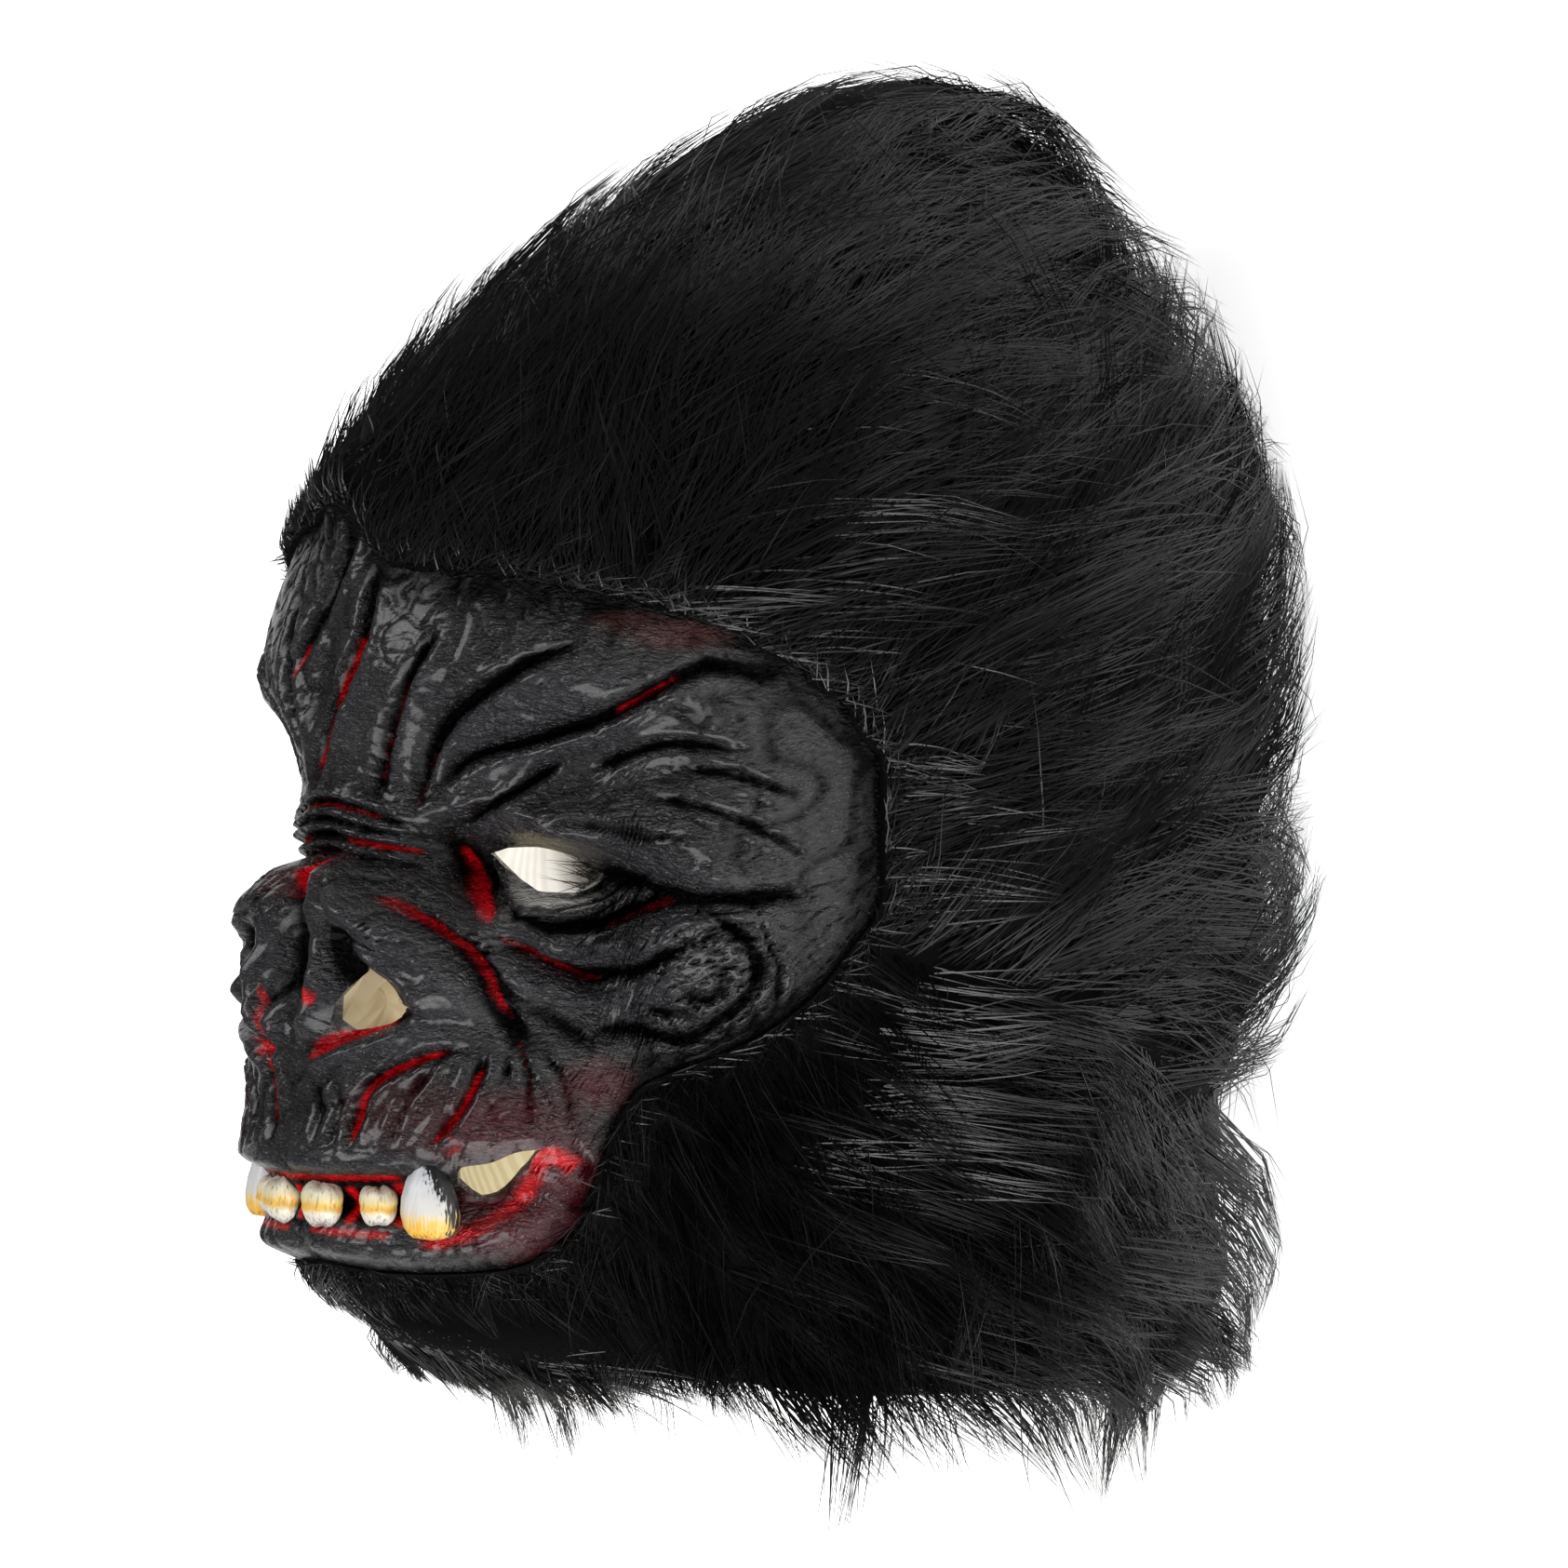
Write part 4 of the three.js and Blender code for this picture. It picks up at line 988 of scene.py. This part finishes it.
def painted_latex():
    """Natural rubber latex, slush cast and brushed with acrylic: cloudy charcoal with a satin skin, dry-brushed grey
    on the high folds, and blood red run into the furrows. Creases and painted hollows get painted shade: their colour
    goes nearly black, and their coat and specular tint are cut down, which paints out their reflections."""
    material, shader, add = new_material("painted_latex", Specular_IOR_Level=0.46, Coat_Roughness=0.22)
    place = add("TexCoord").outputs["Object"]
    cloud = add("TexNoise", Vector=place, Scale=1000 / 14, Detail=4)
    brush = add("TexNoise", Vector=place, Scale=1000 / 2.2, Detail=3, Roughness=0.6)
    share_of = lambda name: add("Attribute", attribute_name=name).outputs["Fac"]
    # Painted shade: the share darkened nearly to black, from deep creases and the painted hollows
    low = add("Math", share_of("relief"), -0.6, operation="MULTIPLY", use_clamp=True)
    high = add("Math", share_of("relief"), 0.25, operation="ADD")
    high = add("Math", high, brush, operation="MULTIPLY", use_clamp=True)
    colour = add("ValToRGB", cloud, stops=[(0.3, "#0A0A0B"), (0.55, "#101011"), (0.75, "#161518")])
    colour = add("Mix", high, colour, "#252428", data_type="RGBA")
    colour = add("Mix", low, colour, "#020202", data_type="RGBA")
    for name, more, tint in (("maroon", 0.5, "#4C0E16"), ("brown", 0.3, "#50302F"), ("grey", 0.25, "#232325")):
        uneven = add("Math", brush, more, operation="ADD")
        uneven = add("Math", share_of(name), uneven, operation="MULTIPLY", use_clamp=True)
        colour = add("Mix", uneven, colour, tint, data_type="RGBA")
    # Red: darker where it is thin, with ragged edges where the brush skipped, 2.4 (red + 0.9 (brush - 0.5) - 0.3)
    red = share_of("red")
    wet = add("ValToRGB", red, stops=[(0.0, "#3A0508"), (0.4, "#6E060E"), (0.7, "#A80511"), (1.0, "#D8091A")])
    ragged = add("Math", brush, 2.16, -1.8, operation="MULTIPLY_ADD")
    ragged = add("Math", red, 2.4, ragged, operation="MULTIPLY_ADD", use_clamp=True)
    # Leather grain: irregular cells 1 to 9 mm wide, flatter than wide, over a fine grain
    bend = add("TexNoise", Vector=place, Scale=1000 / 9, Detail=2).outputs["Color"]
    bent = add("VectorMath", bend, (0.003, 0.003, 0.003), place, operation="MULTIPLY_ADD")
    leather = add("TexNoise", Vector=place, Scale=1000 / 0.8, Detail=3, Roughness=0.6)
    leather = add("Math", leather, 0.5, operation="MULTIPLY")
    for wide, tall, depth in ((4.6, 1.9, 1.0), (2.0, 0.9, 0.5), (9.0, 4.0, 1.3)):
        cells = add("Mapping", bent, Rotation=(0.3, 0, 0.5), Scale=(1000 / wide, 1000 / tall, 1000 / wide))
        cells = add("TexVoronoi", cells, Scale=1, feature="DISTANCE_TO_EDGE")
        cells = add("Math", cells, 4, operation="MULTIPLY", use_clamp=True)
        cells = add("Math", cells, 0.6, operation="POWER")
        leather = add("Math", cells, depth, leather, operation="MULTIPLY_ADD")
    # Coat and specular tint fall with the painted shade, which paints out reflections in creases and hollows
    fill(shader, Base_Color=add("Mix", ragged, colour, wet, data_type="RGBA"),
         Roughness=add("MapRange", cloud, 0.35, 0.7, 0.34, 0.52),
         Coat_Weight=add("Math", low, -0.288, 0.32, operation="MULTIPLY_ADD"),
         Specular_Tint=add("Mix", low, "#FFFFFF", "#404040", data_type="RGBA"),
         Normal=add("Bump", Height=leather, Strength=1, Distance=0.0009))
    return material


def raw_latex():
    """Unpainted latex, cured in the mould: cream and waxy to the eye, with faint pooling marks 22 mm wide."""
    material, shader, add = new_material("raw_latex", Roughness=0.5)
    pools = add("TexNoise", Vector=add("TexCoord").outputs["Object"], Scale=1000 / 22, Detail=3)
    fill(shader, Base_Color=add("ValToRGB", pools, stops=[(0.3, "#B3A17C"), (0.7, "#CDBD9C")]))
    return material


def painted_tooth(name, coats, grime_and_shade, streaky, clean, strength):
    """Latex tooth under brushed coats, given from its foot to its tip, with streaks 0.7 mm apart along its height: old
    ivory to the eye. A dark colour covers strength (streaky streaks + 5 dark - clean) of it, with the bracket kept in
    0 to 1: dirt in streaks on the teeth, and on the fangs painted shade from their dark attribute, broken by streaks."""
    material, shader, add = new_material(name, Roughness=0.5, Coat_Weight=0.12, Coat_Roughness=0.3)
    place = add("Mapping", add("TexCoord").outputs["Object"], Scale=(1400, 160, 1400))
    streaks = add("TexNoise", Vector=place, Scale=1, Detail=3)
    share_of = lambda name: add("Attribute", attribute_name=name).outputs["Fac"]
    up = add("Math", streaks, 0.35, -0.175, operation="MULTIPLY_ADD")
    up = add("Math", up, share_of("along"), operation="ADD")
    # Dirt on the teeth, and painted shade down the fangs' outer side and tip, both broken by streaks
    dark = add("Math", streaks, streaky, -clean, operation="MULTIPLY_ADD")
    dark = add("Math", share_of("dark"), 5, dark, operation="MULTIPLY_ADD", use_clamp=True)
    dark = add("Math", dark, strength, operation="MULTIPLY")
    fill(shader, Base_Color=add("Mix", dark, add("ValToRGB", up, stops=coats), grime_and_shade, data_type="RGBA"),
         Normal=add("Bump", Height=streaks, Strength=0.4, Distance=0.0004))
    return material


def acrylic_pile():
    """Modacrylic faux-fur fibre, extruded, dyed black and brushed: nearly black with small bright glints."""
    material, shader, add = new_material("acrylic_pile", Roughness=0.33, Specular_IOR_Level=0.36)
    tone = add("Attribute", attribute_name="tone").outputs["Fac"]
    fill(shader, Base_Color=add("ValToRGB", tone, stops=[(0.0, "#020202"), (0.6, "#070707"), (0.9, "#101010"),
                                                         (1.0, "#262424")]))
    return material


def pile_roots():
    """The dense foot of the pile: dyed fibre ends on the cloth, so dark that no cloth shows."""
    return new_material("pile_roots", Base_Color="#020202", Roughness=0.95, Specular_IOR_Level=0.1)[0]


def ribbed_knit(name, roughness, spacing, waver, valley, ridge, height=0.0):
    """Warp-knitted polyester ground cloth: ribs that waver a little, a spacing in mm apart."""
    material, shader, add = new_material(name, Roughness=roughness)
    ribs = add("TexWave", Vector=add("TexCoord").outputs["Object"], Scale=1000 / spacing, Distortion=waver,
               wave_type="BANDS").outputs["Fac"]
    fill(shader, Base_Color=add("ValToRGB", ribs, stops=[(0.2, valley), (0.8, ridge)]))
    if height:
        fill(shader, Normal=add("Bump", Height=ribs, Strength=0.5, Distance=height))
    return material


# ---- the mask ----
LATEX_PAINT, LATEX_RAW = painted_latex(), raw_latex()
# Teeth: grey-white with a yellow band across the middle, and dirt where the brush left it
TOOTH_PAINT = painted_tooth("painted_tooth", [
    (0.0, "#8E8B84"), (0.14, "#CFCABF"), (0.3, "#DED7C4"), (0.4, "#DDAE48"), (0.52, "#E2B65A"), (0.62, "#DCCB97"),
    (0.8, "#D9D2BA"), (1.0, "#B9B3A2")], "#5E564C", streaky=-6, clean=-2.82, strength=0.7)
# Fangs: yellow at the gum, grey-white above, and painted shade in black down the outer side and towards the tip
FANG_PAINT = painted_tooth("painted_fang", [
    (0.0, "#8A5F1C"), (0.08, "#DCA436"), (0.2, "#E2BC66"), (0.3, "#CFCCC4"), (0.6, "#C9CACE"), (0.85, "#9C9DA2")],
    "#0C0B0B", streaky=8, clean=8, strength=1)
PILE_FIBRE, PILE_ROOT = acrylic_pile(), pile_roots()
# Undyed: off-white and matt. Its ribs are 1.2 mm apart, and are drawn 3.8 mm apart so that they show.
KNIT = ribbed_knit("knit_backing", 0.85, 3.8, 0.6, "#E6E4E0", "#F2F1EE", 0.0004)
# The same cloth soaked with latex glue where it meets the casting: cream and waxy, with its ribs filled, so that only
# broad bands of glue are left, 7 mm apart
GLUED_KNIT = ribbed_knit("glued_knit", 0.6, 7, 2, "#BFB28C", "#D0C5A4")

casting = [latex_face()]
for side, fang_angle in zip(BOTH, (21.8, 27)):
    casting += [tooth(4.7, side, width=15.5, height=11.5, depth=4.8),
                tooth(13.2, side, width=12.5, height=10.5, depth=4.6), fang(fang_angle, side, radius=7.8, height=24.5)]
face = piece("latex_casting", [LATEX_PAINT, LATEX_RAW, TOOTH_PAINT, FANG_PAINT], *joined(casting))
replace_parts(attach(face, "root"), "latex_face")

crown, *crown_cloth = panel("crown_fabric", [PILE_ROOT, KNIT], seam_height, None, rows=60)
neck, *neck_cloth = panel("neck_fabric", [PILE_ROOT, GLUED_KNIT], hem, seam_height, rows=32)
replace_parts(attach(crown, "root"), "crown_fur")
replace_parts(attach(neck, "root"), "neck_fur")

FRINGE_SPLIT = 20  # above this height the fringe belongs to the crown
fringe_above, fringe_below = fringe(1500, 61, lambda y: y > FRINGE_SPLIT), fringe(1300, 62, lambda y: y <= FRINGE_SPLIT)
for k, extra in enumerate([[fringe_above], [pulled_through(400, 63)], []]):
    fur = piece(f"crown_pile_{k + 1}", [PILE_FIBRE], *joined([
        pile(crown_cloth, True, 5000, 480, joints=4, length=66, width=0.52, pull=0.95, seed=31 + k),
        pile(crown_cloth, True, 8800, 800, joints=3, length=48, width=0.44, pull=0.8, seed=41 + k), *extra]))
    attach(fur, "root")
neck_points, neck_faces = neck_cloth
hem_cloth = neck_points, neck_faces[neck_points[neck_faces][..., 1].mean(1) < HEM + 16]
fur = piece("neck_pile", [PILE_FIBRE], *joined([
    pile(neck_cloth, False, 5000, 240, joints=4, length=58, width=0.52, pull=0.95, seed=51),
    pile(neck_cloth, False, 8300, 420, joints=3, length=44, width=0.44, pull=0.8, seed=52), fringe_below,
    pile(hem_cloth, False, 2200, 90, joints=3, length=56, width=0.5, pull=0.9, seed=53)]))
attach(fur, "root")


# ---- studio ----
def aimed(obj, place, right, up, back):
    """Sets an object at a place in the row frame with its own axes along three directions."""
    matrix = np.eye(4)
    matrix[:3] = np.stack([right, up, back, place], 1)
    obj.matrix_world = Matrix(matrix.tolist())
    bpy.context.scene.collection.objects.link(obj)
    return obj


camera = bpy.data.cameras.new("camera")
camera.lens, camera.sensor_width, camera.clip_start, camera.clip_end = 121.85, 36, 0.05, 50
bpy.context.scene.camera = aimed(bpy.data.objects.new("camera", camera),
                                 to_row(VIEW_TARGET + VIEW_DISTANCE * BACK_AXIS), RIGHT_AXIS, UP_AXIS, BACK_AXIS)

# Opal acrylic sheet lit from below, as under a product shot: white and without a shadow
opal = new_material("opal_sheet_lit_from_below", Base_Color="#F4F4F4", Roughness=0.9, Emission_Color="#FFFFFF",
                    Emission_Strength=0.85)[0]
HALF_FLOOR = 8000
floor = piece("floor", [opal], np.array([[-1, -1, 0], [1, -1, 0], [1, 1, 0], [-1, 1, 0]]) * HALF_FLOOR + ROW_ORIGIN,
              [(0, 1, 2), (0, 2, 3)], [0, 0], {})

# Softboxes that face the mask's middle: m from it along the camera's right, up and back, width in m, and watts
for name, right, up, back, size, energy in (
        ("key", -1.35, 0.6, 0.75, 0.7, 16), ("right", 1.25, 0.35, 0.7, 0.6, 5), ("top", 0.7, 1.25, -0.35, 0.8, 8),
        ("low", 0.0, -0.9, 1.0, 0.8, 18), ("back", 1.3, -0.6, -0.2, 0.9, 3)):
    lamp = bpy.data.lights.new(name, "AREA")
    lamp.size, lamp.energy = size, energy
    offset = right * RIGHT_AXIS + up * UP_AXIS + back * BACK_AXIS
    facing = unit(offset)
    across = unit(np.cross([0.1, 1, 0.05], facing))
    aimed(bpy.data.objects.new(name, lamp), to_row(VIEW_TARGET) + offset, across, np.cross(facing, across), facing)
# A small lamp under the neck opening, for the inside that shows through the eye hole and the mouth
lamp = bpy.data.lights.new("neck", "AREA")
lamp.size, lamp.energy, lamp.spread = 0.12, 0.55, math.radians(40)
aimed(bpy.data.objects.new("neck", lamp), [0, -0.32, 0.13], [1, 0, 0], [0, 0, 1], [0, -1, 0])

world = bpy.data.worlds.new("studio")
bpy.context.scene.world = world
world.use_nodes = True
fill(next(n for n in world.node_tree.nodes if n.type == "BACKGROUND"), Color="#FFFFFF", Strength=0.14)
bpy.context.scene.view_settings.view_transform = "Standard"
